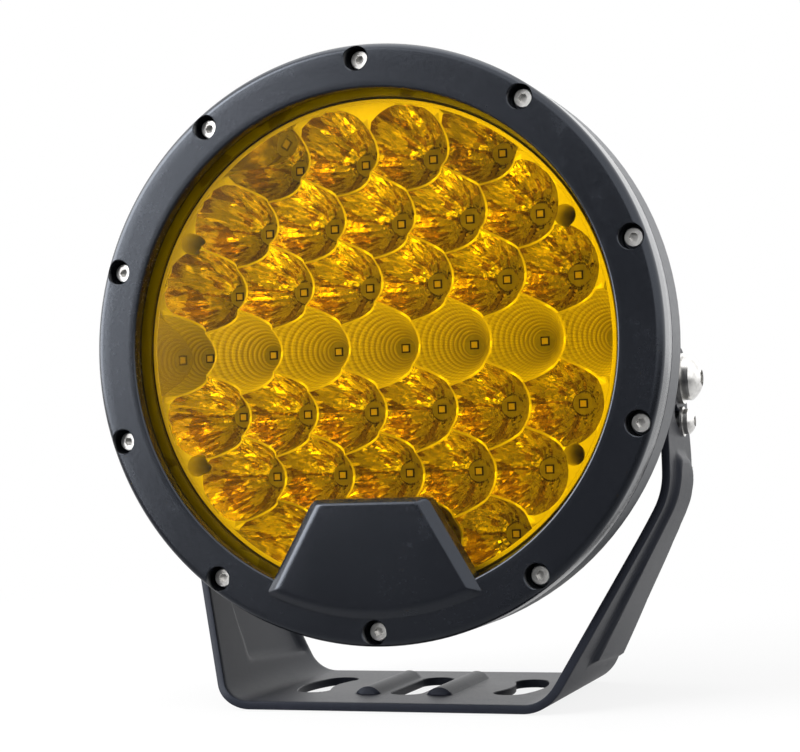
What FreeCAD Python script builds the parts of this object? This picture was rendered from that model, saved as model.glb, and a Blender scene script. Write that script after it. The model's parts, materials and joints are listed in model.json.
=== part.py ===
import FreeCAD, Part
import math
import os

# Round LED fog light on a U-shaped foot. Millimetres. +Z is up, the lamp shines along -Y,
# and the origin is the centre of the foot's middle slot, on its underside.

V = FreeCAD.Vector
X = V(1, 0, 0)
Y = V(0, 1, 0)
Z = V(0, 0, 1)
BOTH_SIDES = (-1, 1)

# Bracket: a bent steel strap
STRAP = 3.2
FOOT_HALF_WIDTH = 64.1
FOOT_FRONT = -48.0
FOOT_BACK = 44.7
ARM_BEND_HEIGHT = 76.5
FOOT_BEND_RADIUS = 16.0
ARM_BEND_RADIUS = 34.0
ARM_LOBE_RADIUS = 12.5
ARM_FRONT_SETBACK = 26.6
ARM_BACK_SETBACK = 17.7
ARM_WAIST_HEIGHT = 92.0
ARM_ROOM = 2.2
BEAD_HEIGHT = 2.2
BEAD_WALL = 2.6
BEAD_FRONT = -15.0
BEAD_FOOT = 13.0
BEAD_TOP = 93.0
BEAD_LEAN_HEIGHT = 58.0
BEAD_WAIST_HEIGHT = 80.0
BEAD_BORDER = 6.4
SLOT_WIDTH = 13.0
SLOT_LENGTH = 50.0
ARC_SLOT_RADIUS = 43.2
ARC_SLOT_HALF_ANGLE = 21.0
RIB_OFFSET = 14.5
RIB_HALF_WIDTH = 4.4
RIB_FRONT = -24.5
RIB_BACK = 26.0

# Pivot and lock bolts
PIVOT_BACK = 27.0
PIVOT_BOLT_RADIUS = 5.0
PIVOT_RUNNING_GAP = 0.06
PIVOT_HEAD_RADIUS = 8.7
PIVOT_HEAD_HEIGHT = 5.5
PIVOT_SOCKET = 6.0
PIVOT_WASHER_RADIUS = 10.0
PIVOT_WASHER_THICK = 1.6
PIVOT_SPRING_RADIUS = 8.6
PIVOT_SPRING_THICK = 2.0
PIVOT_THREAD_DEPTH = 22.0
LOCK_DROP = 16.9
LOCK_BOLT_RADIUS = 3.0
LOCK_SLOT_GAP = 0.3
LOCK_HEAD_RADIUS = 5.1
LOCK_HEAD_HEIGHT = 3.2
LOCK_SOCKET = 4.0
LOCK_WASHER_RADIUS = 5.9
LOCK_WASHER_THICK = 1.0
LOCK_SPRING_RADIUS = 5.0
LOCK_SPRING_THICK = 1.4
LOCK_THREAD_DEPTH = 14.0
HEAD_RIM_SHARE = 0.18
SOCKET_FLOOR_SHARE = 0.38
WASHER_HOLE_GAP = 0.25
WASHER_SPLIT = 0.8
WASHER_SPLIT_SLANT = 25.0
TILT_UP = 35.0
TILT_DOWN = 12.0
SLOT_END_SPARE = 3.0
SIDE_GAP = 0.2

# Lamp head: depths are measured behind the bezel's face
AXIS_RISE = 15.7
FACE_Y = -53.3
HEAD_RADIUS = 112.3
FOOT_GAP = 24.4
RIM_WIDTH = 16.8
BEZEL_DEPTH = 14.7
RIM_ROUNDING = 3.0
APERTURE_ROUNDING = 0.8
SEAM_CHAMFER = 0.4
FLANGE_DEPTH = 17.7
LENS_SETBACK = 7.5
LENS_SEAT = 4.0
LENS_THICK = 3.0
LENS_SIDE_GAP = 0.5
LENS_BEVEL = 0.5
GASKET_THICK = 1.5
GASKET_STEP = 0.4
BEZEL_SCREW_COUNT = 10
BEZEL_SCREW_INSET = 5.3
BEZEL_SCREW_RADIUS = 2.0
BEZEL_SCREW_LENGTH = 14.0
BEZEL_SCREW_HEAD_RADIUS = 3.6
BEZEL_SCREW_HEAD = 4.0
BEZEL_SCREW_SOCKET = 3.0
BEZEL_SOCKET_DEPTH = 2.2
SCREW_EDGE = 0.35
POCKET_RADIUS = 4.7
POCKET_DEPTH = 9.0
SCREW_CLEARANCE = 0.25
THREAD_GAP = 0.05
HOLE_SPARE = 1.0

# Raised block on the bezel
BLOCK_HEIGHT = 38.1
BLOCK_TOP_HALF = 22.6
BLOCK_SIDE_RUN = 19.2
BLOCK_SIDE_DROP = 33.5
BLOCK_RIM_INSET = 10.3
BLOCK_PROUD = 2.7
BLOCK_SIDE_INSET = 3.8
BLOCK_TOP_INSET = 1.9
BLOCK_BOTTOM_INSET = 4.0
BLOCK_LENS_GAP = 0.3

# Reflector and LEDs
CUP_PITCH = 28.4
CUP_FOCUS = 1.8
CUP_ROWS = 7
CUP_SHELL = 1.2
CUP_CURVE_STEPS = 8
CUP_FLOOR_OPENING = 13.1
REFLECTOR_INSET = 2.5
REFLECTOR_RIM = 1.6
REFLECTOR_LENS_GAP = 0.5
REFLECTOR_DEPTH = 35.6
REFLECTOR_SIDE_GAP = 0.6
REFLECTOR_FLOOR = 1.6
WELL_INSET = 6.0
WELL_ANGLES = (30.0, 150.0, 210.0, 330.0)
WELL_RADIUS = 4.15
WELL_WALL = 1.2
WELL_DEPTH = 30.0
LED_SIDE = 3.5
LED_THICK = 0.7
LED_BASE = 0.56
LED_BORDER = 0.56
BOARD_THICK = 1.6
BOARD_INSET = 2.0
PAD_THICK = 0.5
PAD_INSET = 1.0
PAD_HOLE_GAP = 0.5
SMALL_SCREW_RADIUS = 1.5
SMALL_HEAD_RADIUS = 2.75
SMALL_HEAD = 2.0
SMALL_THREAD = 4.0
SMALL_SOCKET = 2.1
SMALL_SOCKET_DEPTH = 1.2

# Rear housing casting
FLANGE_OVERHANG = 15.8
FLANGE_CHAMFER = 2.0
FLOOR_THICK = 6.0
FIN_THICK = 2.6
FIN_PITCH = 9.2
FIN_DEPTH = 37.0
FIN_INSET = 1.5
FIN_TAPER_SHARE = 0.7
FIN_TAPER = 10.0
BOSS_RADIUS = 13.5
BOSS_LOCK_RADIUS = 9.0
BOSS_INNER = 68.0
CHAMBER_RADIUS = 42.0
CHAMBER_WALL = 8.0
CHAMBER_SPARE = 3.0
COVER_THICK = 3.0
COVER_GASKET = 1.0
COVER_SCREW_COUNT = 6
COVER_SCREW_THREAD = 8.0
COVER_EDGE = 0.8
COVER_FIN_GAP = 1.0
STANDOFF_RADIUS = 3.2
STANDOFF_HEIGHT = 12.0
STANDOFF_CIRCLE = 33.0
STANDOFF_THREAD = 6.0
DRIVER_RADIUS = 38.5
DRIVER_THICK = 1.6
COIL_RADIUS = 7.0
COIL_EYE = 3.0
COIL_THICK = 7.0
COIL_SIDE = 18.0
COIL_DROP = 3.0
CAPACITOR_RADIUS = 4.0
CAPACITOR_LENGTH = 11.0
CAPACITOR_PITCH = 9.0
CAPACITOR_RISE = 13.0
CHIP_WIDTH = 6.5
CHIP_HEIGHT = 6.0
CHIP_THICK = 2.3
CHIP_PLACES = (-20.0, -7.0, 7.0, 20.0)
CHIP_DROP = 19.0
TERMINAL_WIDTH = 10.0
TERMINAL_HEIGHT = 8.0
TERMINAL_THICK = 8.5
TERMINAL_DROP = 31.0
TERMINAL_PORT = 1.6
TERMINAL_PORT_PITCH = 5.0
TERMINAL_PORT_FLOOR = 3.0
LEAD_RADIUS = 0.9
LEAD_SPACING = 5.0
LEAD_RISE = 19.0
LEAD_GAP = 0.1
GROMMET_RADIUS = 5.5
GROMMET_LIP = 1.2
GLAND_DROP = 22.0
GLAND_THREAD_RADIUS = 8.0
GLAND_BORE = 4.6
GLAND_SEAL_WALL = 1.2
GLAND_TAIL_WALL = 1.0
GLAND_NUT_GAP = 0.3
GLAND_SKIRT_SHARE = 0.55
GLAND_STEM_SPARE = 2.0
GLAND_WASHER_RIM = 2.0
GLAND_HEX = 19.0
GLAND_HEX_THICK = 5.0
GLAND_NUT_LENGTH = 14.0
GLAND_TAIL = 9.0
LOCK_NUT_HEX = 22.0
LOCK_NUT_THICK = 4.0
GLAND_WASHER_THICK = 1.0
CABLE_RADIUS = 3.3
VENT_RADIUS = 6.0
VENT_THICK = 3.2
VENT_EDGE = 0.8
VENT_STEM_LENGTH = 3.0
VENT_STEM_RADIUS = 3.0
VENT_RISE = 24.0

# Drilled and cut shapes run this far past the surfaces they break through
PAST = 1.0

# Worked out from the values above
APERTURE_RADIUS = HEAD_RADIUS - RIM_WIDTH
LENS_RADIUS = APERTURE_RADIUS + LENS_SEAT
BEZEL_SCREW_CIRCLE = HEAD_RADIUS - BEZEL_SCREW_INSET
BLOCK_TOP = APERTURE_RADIUS - BLOCK_HEIGHT
BLOCK_BOTTOM_RADIUS = HEAD_RADIUS - BLOCK_RIM_INSET
REFLECTOR_RADIUS = APERTURE_RADIUS - REFLECTOR_INSET
WELL_CIRCLE = REFLECTOR_RADIUS - WELL_INSET
BOARD_RADIUS = REFLECTOR_RADIUS - BOARD_INSET
BODY_RADIUS = HEAD_RADIUS - FLANGE_OVERHANG
FIN_RADIUS = BODY_RADIUS - FIN_INSET
ARM_HALF_SPAN = BODY_RADIUS + ARM_ROOM + STRAP
PIVOT_HEIGHT = HEAD_RADIUS + FOOT_GAP - AXIS_RISE
AXIS_HEIGHT = PIVOT_HEIGHT + AXIS_RISE
LENS_BACK = LENS_SETBACK + LENS_THICK
GASKET_BACK = LENS_BACK + GASKET_THICK
FLANGE_BACK = BEZEL_DEPTH + FLANGE_DEPTH
REFLECTOR_FRONT = LENS_BACK + REFLECTOR_LENS_GAP
REFLECTOR_BACK = REFLECTOR_FRONT + REFLECTOR_DEPTH
BOWL_RADIUS = REFLECTOR_RADIUS + REFLECTOR_SIDE_GAP
BOARD_BACK = REFLECTOR_BACK + BOARD_THICK
FLOOR_FRONT = BOARD_BACK + PAD_THICK
FLOOR_BACK = FLOOR_FRONT + FLOOR_THICK
CHAMBER_BACK = FLOOR_BACK + FIN_DEPTH - CHAMBER_SPARE
COVER_FRONT = CHAMBER_BACK + COVER_GASKET
COVER_BACK = COVER_FRONT + COVER_THICK
DRIVER_FRONT = FLOOR_BACK + STANDOFF_HEIGHT
DRIVER_BACK = DRIVER_FRONT + DRIVER_THICK
COVER_RADIUS = CHAMBER_RADIUS + CHAMBER_WALL
COVER_SCREW_CIRCLE = CHAMBER_RADIUS + CHAMBER_WALL / 2
ARM_INNER = ARM_HALF_SPAN - STRAP
CUP_EYE = 2 * CUP_FOCUS
ROW_PITCH = CUP_PITCH * math.sqrt(3) / 2
CELL_CORNER = CUP_PITCH / math.sqrt(3)


def depth(distance):
    """Y of a plane that lies this far behind the bezel's face."""
    return FACE_Y + distance


def lamp_point(x, distance, z):
    """A point given from the lamp's axis and the bezel's face."""
    return V(x, depth(distance), AXIS_HEIGHT + z)


def disc(radius, front, back, x=0, z=0):
    """Round bar along the lamp's axis, between two depths."""
    return Part.makeCylinder(radius, back - front, lamp_point(x, front, z), Y)


def ring(outer, inner, front, back, x=0, z=0):
    return disc(outer, front, back, x, z).cut(disc(inner, front - PAST, back + PAST, x, z))


def turned(profile):
    """Solid turned about the lamp's axis from (radius, depth) points."""
    points = [lamp_point(radius, distance, 0) for radius, distance in profile]
    face = Part.Face(Part.makePolygon(points + points[:1]))
    return face.revolve(lamp_point(0, 0, 0), Y, 360)


def hexagon(across, front, back, x=0, z=0, phase=0):
    """Hexagonal bar along the lamp's axis."""
    corner = across / math.sqrt(3)
    angles = [math.radians(60 * i + phase) for i in range(6)]
    points = [lamp_point(x + corner * math.cos(a), front, z + corner * math.sin(a)) for a in angles]
    return Part.Face(Part.makePolygon(points + points[:1])).extrude(Y * (back - front))


def polar(radius, degrees):
    angle = math.radians(degrees)
    return radius * math.cos(angle), radius * math.sin(angle)


def rounded_face(corners):
    """Flat face through (point, radius) corners, each rounded to its radius."""
    edges = []
    joints = []
    count = len(corners)
    for i in range(count):
        point, radius = corners[i]
        back = (corners[i - 1][0] - point).normalize()
        ahead = (corners[(i + 1) % count][0] - point).normalize()
        half = back.getAngle(ahead) / 2
        if radius == 0:
            joints.append((point, None, point))
            continue
        reach = radius / math.tan(half)
        middle = point + (back + ahead).normalize() * (radius / math.sin(half) - radius)
        joints.append((point + back * reach, middle, point + ahead * reach))
    for i in range(count):
        start, middle, end = joints[i]
        if middle is not None:
            edges.append(Part.Arc(start, middle, end).toShape())
        following = joints[(i + 1) % count][0]
        if (following - end).Length > 1e-6:
            edges.append(Part.makeLine(end, following))
    return Part.Face(Part.Wire(Part.__sortEdges__(edges)))


# ---------------------------------------------------------------- bracket


def arm_lean():
    """Horizontal run of the slanted arm for each millimetre of height."""
    return (ARM_HALF_SPAN - FOOT_HALF_WIDTH) / ARM_BEND_HEIGHT


def inner_corners(offset):
    """Foot and arm corners of the strap's section, moved inwards by an offset."""
    lean = arm_lean()
    slant = math.sqrt(1 + lean * lean)
    foot_x = FOOT_HALF_WIDTH - offset * (slant - lean)
    arm_x = ARM_HALF_SPAN - offset
    bend_z = ARM_BEND_HEIGHT - offset * (1 - slant) / lean
    return foot_x, arm_x, bend_z


def strap_section(outer, inner, top):
    """Closed section in XZ between two offsets inwards from the strap's outside."""
    corners = []
    foot_x, arm_x, bend_z = inner_corners(outer)
    right = [(V(arm_x, 0, top), 0), (V(arm_x, 0, bend_z), ARM_BEND_RADIUS - outer)]
    right.append((V(foot_x, 0, outer), FOOT_BEND_RADIUS - outer))
    corners += right
    corners += [(V(-p.x, 0, p.z), r) for p, r in reversed(right)]
    foot_x, arm_x, bend_z = inner_corners(inner)
    left = [(V(-arm_x, 0, top), 0), (V(-arm_x, 0, bend_z), ARM_BEND_RADIUS - inner)]
    left.append((V(-foot_x, 0, inner), FOOT_BEND_RADIUS - inner))
    corners += left
    corners += [(V(-p.x, 0, p.z), r) for p, r in reversed(left)]
    return rounded_face(corners)


def strap_body(outer, inner):
    """The bent strap between two offsets, wider than the bracket front to back."""
    section = strap_section(outer, inner, PIVOT_HEIGHT + 2 * ARM_LOBE_RADIUS)
    section.translate(V(0, 2 * FOOT_FRONT, 0))
    return section.extrude(Y * (4 * FOOT_BACK))


def side_prism(corners):
    """Prism along X, wider than the bracket, from (y, z, radius) corners."""
    reach = 2 * ARM_HALF_SPAN
    face = rounded_face([(V(-reach, y, z), radius) for y, z, radius in corners])
    return face.extrude(X * (2 * reach))


def bracket_outline():
    """Side view of the bracket: deep foot, tapered arms and a round lobe at the pivot."""
    front = PIVOT_BACK - ARM_FRONT_SETBACK
    lobe = ARM_LOBE_RADIUS
    top = PIVOT_HEIGHT + lobe
    return side_prism([
        (FOOT_FRONT, -1, 0),
        (FOOT_FRONT, STRAP + 1, 14),
        (front + 2.5, ARM_BEND_HEIGHT, 60),
        (front, ARM_WAIST_HEIGHT, 40),
        (front, PIVOT_HEIGHT - lobe / 2, 20),
        (PIVOT_BACK - lobe, top, lobe * 0.9),
        (PIVOT_BACK + lobe, top, lobe * 0.9),
        (PIVOT_BACK + lobe, PIVOT_HEIGHT - lobe, 30),
        (PIVOT_BACK + ARM_BACK_SETBACK, ARM_WAIST_HEIGHT, 30),
        (FOOT_BACK, -1, 0),
    ])


def bead_prism(inset):
    """Side view of the bead pressed in each arm, drawn in by an inset."""
    front = PIVOT_BACK - ARM_FRONT_SETBACK + BEAD_BORDER + inset
    back = FOOT_BACK - BEAD_WALL - inset
    top = BEAD_TOP - inset
    return side_prism([
        (BEAD_FRONT + inset, BEAD_FOOT + inset, 3),
        (front - 7.3, BEAD_LEAN_HEIGHT, 40),
        (front, BEAD_WAIST_HEIGHT, 30),
        (front + 5, top, 8),
        (back - 4, top - 2, 14),
        (back, BEAD_LEAN_HEIGHT, 60),
        (back, BEAD_FOOT - 3.5 + inset, 3),
    ])


def pressed_rib(side, radius, bottom):
    """Half-round rib pressed up in the foot, or its hollow underside."""
    length = RIB_BACK - RIB_FRONT
    rib = Part.makeCylinder(radius, length, V(side * RIB_OFFSET, RIB_FRONT, 0), Y)
    keep = Part.makeBox(4 * radius, length, 2 * radius)
    keep.translate(V(side * RIB_OFFSET - 2 * radius, RIB_FRONT, bottom))
    return rib.common(keep)


def straight_slot():
    """The foot's middle slot, through the plate."""
    half = (SLOT_LENGTH - SLOT_WIDTH) / 2
    radius = SLOT_WIDTH / 2
    block = Part.makeBox(SLOT_WIDTH, 2 * half, 3 * STRAP, V(-radius, -half, -STRAP))
    ends = [Part.makeCylinder(radius, 3 * STRAP, V(0, y, -STRAP)) for y in (-half, half)]
    return block.multiFuse(ends)


def curved_slot(radius, half_width, start, end, place):
    """Face of a slot bent along an arc, laid in its plane by place(u, v)."""
    def at(distance, degrees, along=0):
        u, v = polar(distance, degrees)
        du, dv = polar(along, degrees + 90)
        return place(u + du, v + dv)

    outer = radius + half_width
    inner = radius - half_width
    middle = (start + end) / 2
    arcs = [
        (at(outer, start), at(outer, middle), at(outer, end)),
        (at(outer, end), at(radius, end, half_width), at(inner, end)),
        (at(inner, end), at(inner, middle), at(inner, start)),
        (at(inner, start), at(radius, start, -half_width), at(outer, start)),
    ]
    return Part.Face(Part.Wire([Part.Arc(*three).toShape() for three in arcs]))


def arc_slot(side):
    """Curved slot beside the middle one, for swinging the lamp left and right."""
    middle = 90 - side * 90
    half = ARC_SLOT_HALF_ANGLE
    face = curved_slot(ARC_SLOT_RADIUS, SLOT_WIDTH / 2, middle - half, middle + half,
                       lambda x, y: V(x, y, -STRAP))
    return face.extrude(Z * (3 * STRAP))


def lock_slot():
    """Arc slot that the lock bolts travel in as the head tilts, through both arms."""
    start = -90 - TILT_UP - SLOT_END_SPARE
    end = -90 + TILT_DOWN + SLOT_END_SPARE
    reach = 2 * ARM_HALF_SPAN
    face = curved_slot(LOCK_DROP, LOCK_BOLT_RADIUS + LOCK_SLOT_GAP, start, end,
                       lambda y, z: V(-reach, PIVOT_BACK + y, PIVOT_HEIGHT + z))
    return face.extrude(X * (2 * reach))


def mounting_bracket():
    outline = bracket_outline()
    strap = strap_body(0, STRAP).common(outline)
    bead = strap_body(-BEAD_HEIGHT, STRAP / 2).common(bead_prism(0))
    recess = strap_body(STRAP - BEAD_HEIGHT, STRAP + 1).common(bead_prism(BEAD_WALL))
    bracket = strap.fuse(bead)
    ribs = [pressed_rib(side, RIB_HALF_WIDTH + STRAP / 2, STRAP / 2) for side in BOTH_SIDES]
    bracket = bracket.multiFuse(ribs)
    hollows = [pressed_rib(side, RIB_HALF_WIDTH, -PAST) for side in BOTH_SIDES]
    pivot = V(-2 * ARM_HALF_SPAN, PIVOT_BACK, PIVOT_HEIGHT)
    pivot_radius = PIVOT_BOLT_RADIUS + PIVOT_RUNNING_GAP
    pivot_hole = Part.makeCylinder(pivot_radius, 4 * ARM_HALF_SPAN, pivot, X)
    cuts = [recess, straight_slot(), arc_slot(-1), arc_slot(1), lock_slot(), pivot_hole]
    return bracket.cut(cuts + hollows)


# ---------------------------------------------------------------- pivot and lock hardware


def side_bar(radius, start, length, drop):
    """Round bar along X at the right-hand pivot, or this far below it."""
    return Part.makeCylinder(radius, length, V(start, PIVOT_BACK, PIVOT_HEIGHT - drop), X)


def both_sides(shape):
    """The right-hand piece and its mirror image on the left."""
    return Part.makeCompound([shape, shape.mirror(V(0, 0, 0), X)])


def side_hexagon(across, start, length, drop):
    corner = across / math.sqrt(3)
    points = []
    for i in range(6):
        y, z = polar(corner, 60 * i + 30)
        points.append(V(start, PIVOT_BACK + y, PIVOT_HEIGHT - drop + z))
    return Part.Face(Part.makePolygon(points + points[:1])).extrude(X * length)


def button_head(radius, height, start, drop):
    """Domed head: a low rim and the cap of a ball, turned about the bolt's axis."""
    rim = height * HEAD_RIM_SHARE
    rise = height - rim
    ball = (radius * radius + rise * rise) / (2 * rise)
    centre = start + height - ball
    half = math.asin(radius / ball) / 2

    def at(along, out):
        return V(along, PIVOT_BACK, PIVOT_HEIGHT - drop + out)

    foot = at(start, 0)
    edge = at(start, radius)
    brow = at(start + rim, radius)
    tip = at(start + height, 0)
    crown = at(centre + ball * math.cos(half), ball * math.sin(half))
    edges = [Part.makeLine(foot, edge), Part.makeLine(edge, brow)]
    edges += [Part.Arc(brow, crown, tip).toShape(), Part.makeLine(tip, foot)]
    return Part.Face(Part.Wire(edges)).revolve(foot, X, 360)


def side_bolts(radius, head_radius, head_height, socket, washers, thread, drop):
    """Button-head bolts through both arms into the housing's bosses."""
    seat = ARM_HALF_SPAN + washers
    tip = ARM_INNER - SIDE_GAP - thread
    head = button_head(head_radius, head_height, seat, drop)
    shank = side_bar(radius - THREAD_GAP, tip, seat - tip + THREAD_GAP, drop)
    floor = seat + head_height * SOCKET_FLOOR_SHARE
    return both_sides(head.fuse(shank).cut(side_hexagon(socket, floor, head_height, drop)))


def side_washers(outer, hole, thick, start, drop, split):
    """Washers under the bolt heads; a spring washer has a narrow slanted split."""
    washer = side_bar(outer, start, thick, drop)
    cuts = [side_bar(hole, start - PAST, thick + 2 * PAST, drop)]
    if split:
        gap = Part.makeBox(3 * thick, WASHER_SPLIT, 2 * outer)
        gap.translate(V(-1.5 * thick, -WASHER_SPLIT / 2, 0))
        gap.rotate(V(0, 0, 0), Z, WASHER_SPLIT_SLANT)
        gap.translate(V(start + thick / 2, PIVOT_BACK, PIVOT_HEIGHT - drop))
        cuts.append(gap)
    return both_sides(washer.cut(cuts))


def pivot_bolts():
    washers = PIVOT_WASHER_THICK + PIVOT_SPRING_THICK
    return side_bolts(PIVOT_BOLT_RADIUS, PIVOT_HEAD_RADIUS, PIVOT_HEAD_HEIGHT, PIVOT_SOCKET,
                      washers, PIVOT_THREAD_DEPTH, 0)


def pivot_flat_washers():
    hole = PIVOT_BOLT_RADIUS + WASHER_HOLE_GAP
    return side_washers(PIVOT_WASHER_RADIUS, hole, PIVOT_WASHER_THICK, ARM_HALF_SPAN, 0, False)


def pivot_spring_washers():
    hole = PIVOT_BOLT_RADIUS + WASHER_HOLE_GAP
    start = ARM_HALF_SPAN + PIVOT_WASHER_THICK
    return side_washers(PIVOT_SPRING_RADIUS, hole, PIVOT_SPRING_THICK, start, 0, True)


def lock_bolts():
    washers = LOCK_WASHER_THICK + LOCK_SPRING_THICK
    return side_bolts(LOCK_BOLT_RADIUS, LOCK_HEAD_RADIUS, LOCK_HEAD_HEIGHT, LOCK_SOCKET,
                      washers, LOCK_THREAD_DEPTH, LOCK_DROP)


def lock_flat_washers():
    hole = LOCK_BOLT_RADIUS + WASHER_HOLE_GAP
    thick = LOCK_WASHER_THICK
    return side_washers(LOCK_WASHER_RADIUS, hole, thick, ARM_HALF_SPAN, LOCK_DROP, False)


def lock_spring_washers():
    hole = LOCK_BOLT_RADIUS + WASHER_HOLE_GAP
    start = ARM_HALF_SPAN + LOCK_WASHER_THICK
    return side_washers(LOCK_SPRING_RADIUS, hole, LOCK_SPRING_THICK, start, LOCK_DROP, True)


# ---------------------------------------------------------------- lamp head, front


def block_face(distance, side_inset, top_inset, bottom_inset):
    """Outline of the raised block at one depth: a trapezium with an arc at the bottom."""
    lean = BLOCK_SIDE_RUN / BLOCK_SIDE_DROP
    shift = side_inset * math.hypot(1, lean)
    radius = BLOCK_BOTTOM_RADIUS - bottom_inset
    top = -BLOCK_TOP - top_inset
    top_half = BLOCK_TOP_HALF - shift + top_inset * lean
    # the side line meets the bottom arc: x = top_half + lean * s, z = top - s
    a = 1 + lean * lean
    b = 2 * (top_half * lean - top)
    c = top_half * top_half + top * top - radius * radius
    fall = (-b + math.sqrt(b * b - 4 * a * c)) / (2 * a)
    corner_x = top_half + lean * fall
    corner_z = top - fall
    right_top = lamp_point(top_half, distance, top)
    left_top = lamp_point(-top_half, distance, top)
    right = lamp_point(corner_x, distance, corner_z)
    left = lamp_point(-corner_x, distance, corner_z)
    bottom = lamp_point(0, distance, -radius)
    edges = [Part.makeLine(left_top, right_top), Part.makeLine(right_top, right)]
    edges += [Part.Arc(right, bottom, left).toShape(), Part.makeLine(left, left_top)]
    return Part.Wire(edges)


def raised_block():
    """Plain block across the bezel's bottom: straight behind the face, chamfered in front."""
    outline = block_face(0, 0, 0, 0)
    wall = Part.Face(outline).extrude(Y * (LENS_SETBACK - BLOCK_LENS_GAP))
    crest = block_face(-BLOCK_PROUD, BLOCK_SIDE_INSET, BLOCK_TOP_INSET, BLOCK_BOTTOM_INSET)
    cap = Part.makeLoft([outline, crest], True, True)
    return wall.fuse(cap)


def front_bezel():
    r = RIM_ROUNDING
    e = APERTURE_ROUNDING
    pocket = LENS_RADIUS + LENS_SIDE_GAP
    edge = [(HEAD_RADIUS - r + r * math.sin(a), r - r * math.cos(a))
            for a in [math.radians(15 * i) for i in range(7)]]
    body = turned(edge + [
        (HEAD_RADIUS, BEZEL_DEPTH - SEAM_CHAMFER),
        (HEAD_RADIUS - SEAM_CHAMFER, BEZEL_DEPTH),
        (pocket, BEZEL_DEPTH),
        (pocket, LENS_SETBACK),
        (APERTURE_RADIUS, LENS_SETBACK),
        (APERTURE_RADIUS, e),
        (APERTURE_RADIUS + e, 0),
    ])
    body = body.fuse(raised_block())
    cuts = []
    hole = BEZEL_SCREW_RADIUS + SCREW_CLEARANCE
    for x, z in bezel_screw_places():
        cuts.append(disc(POCKET_RADIUS, -PAST, POCKET_DEPTH, x, z))
        cuts.append(disc(hole, 0, BEZEL_DEPTH + PAST, x, z))
    return body.cut(cuts)


def bezel_screw_places():
    """Equally spaced places round the rim, the first at the top."""
    turn = 360 / BEZEL_SCREW_COUNT
    return [polar(BEZEL_SCREW_CIRCLE, 90 + turn * i) for i in range(BEZEL_SCREW_COUNT)]


def cap_screw(x, z):
    """Socket head cap screw, its head seated on the floor of the bezel's pocket."""
    top = POCKET_DEPTH - BEZEL_SCREW_HEAD
    profile = [
        (0, top),
        (BEZEL_SCREW_HEAD_RADIUS - SCREW_EDGE, top),
        (BEZEL_SCREW_HEAD_RADIUS, top + SCREW_EDGE),
        (BEZEL_SCREW_HEAD_RADIUS, POCKET_DEPTH),
        (BEZEL_SCREW_RADIUS, POCKET_DEPTH),
        (BEZEL_SCREW_RADIUS, POCKET_DEPTH + BEZEL_SCREW_LENGTH - SCREW_EDGE),
        (BEZEL_SCREW_RADIUS - SCREW_EDGE, POCKET_DEPTH + BEZEL_SCREW_LENGTH),
        (0, POCKET_DEPTH + BEZEL_SCREW_LENGTH),
    ]
    screw = turned(profile)
    screw = screw.cut(hexagon(BEZEL_SCREW_SOCKET, top - PAST, top + BEZEL_SOCKET_DEPTH))
    screw.translate(V(x, 0, z))
    return screw


def bezel_screws():
    return Part.makeCompound([cap_screw(x, z) for x, z in bezel_screw_places()])


def amber_lens():
    """Flat front lens with a small bevel round its front edge."""
    return turned([
        (0, LENS_SETBACK),
        (LENS_RADIUS - LENS_BEVEL, LENS_SETBACK),
        (LENS_RADIUS, LENS_SETBACK + LENS_BEVEL),
        (LENS_RADIUS, LENS_BACK),
        (0, LENS_BACK),
    ])


def lens_gasket():
    return ring(LENS_RADIUS, BOWL_RADIUS + GASKET_STEP, LENS_BACK, GASKET_BACK)


# ---------------------------------------------------------------- reflector and LED board


def cup_centres():
    """Centres of the hexagonal array of cups, row by row from the top."""
    centres = []
    middle = (CUP_ROWS - 1) // 2
    for row in range(CUP_ROWS):
        count = CUP_ROWS - abs(row - middle)
        for i in range(count):
            x = CUP_PITCH * (i - (count - 1) / 2)
            centres.append((x, ROW_PITCH * (middle - row)))
    return centres


def bowl(widen):
    """Paraboloid about the lamp's axis with its focus at the LED plane."""
    reach = CELL_CORNER + CUP_SHELL
    points = []
    for i in range(CUP_CURVE_STEPS + 1):
        radius = CUP_EYE + (reach - CUP_EYE) * i / CUP_CURVE_STEPS
        rise = radius * radius / (4 * CUP_FOCUS) - CUP_FOCUS
        points.append((radius + widen, REFLECTOR_BACK - rise))
    curve = Part.BSplineCurve()
    curve.interpolate([lamp_point(r, d, 0) for r, d in points])
    first = lamp_point(points[0][0], points[0][1], 0)
    last = lamp_point(points[-1][0], points[-1][1], 0)
    lid = lamp_point(0, points[-1][1], 0)
    eye = lamp_point(0, points[0][1], 0)
    edges = [curve.toShape(), Part.makeLine(last, lid), Part.makeLine(lid, eye)]
    edges.append(Part.makeLine(eye, first))
    return Part.Face(Part.Wire(edges)).revolve(lamp_point(0, 0, 0), Y, 360)


def well_places():
    """Centres of the deep wells whose screws hold the reflector and the LED board."""
    return [polar(WELL_CIRCLE, angle) for angle in WELL_ANGLES]


def reflector_cup():
    """One cup: a thin paraboloid shell trimmed to its hexagonal cell."""
    cell = hexagon(CUP_PITCH, REFLECTOR_FRONT, REFLECTOR_BACK, phase=30)
    outside = bowl(CUP_SHELL).common(cell)
    floor_front = REFLECTOR_BACK - REFLECTOR_FLOOR
    floor = hexagon(CUP_PITCH, floor_front, REFLECTOR_BACK, phase=30)
    eye = disc(CUP_EYE, floor_front - PAST, REFLECTOR_BACK + PAST)
    return outside.fuse(floor).cut([bowl(0), eye])


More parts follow.
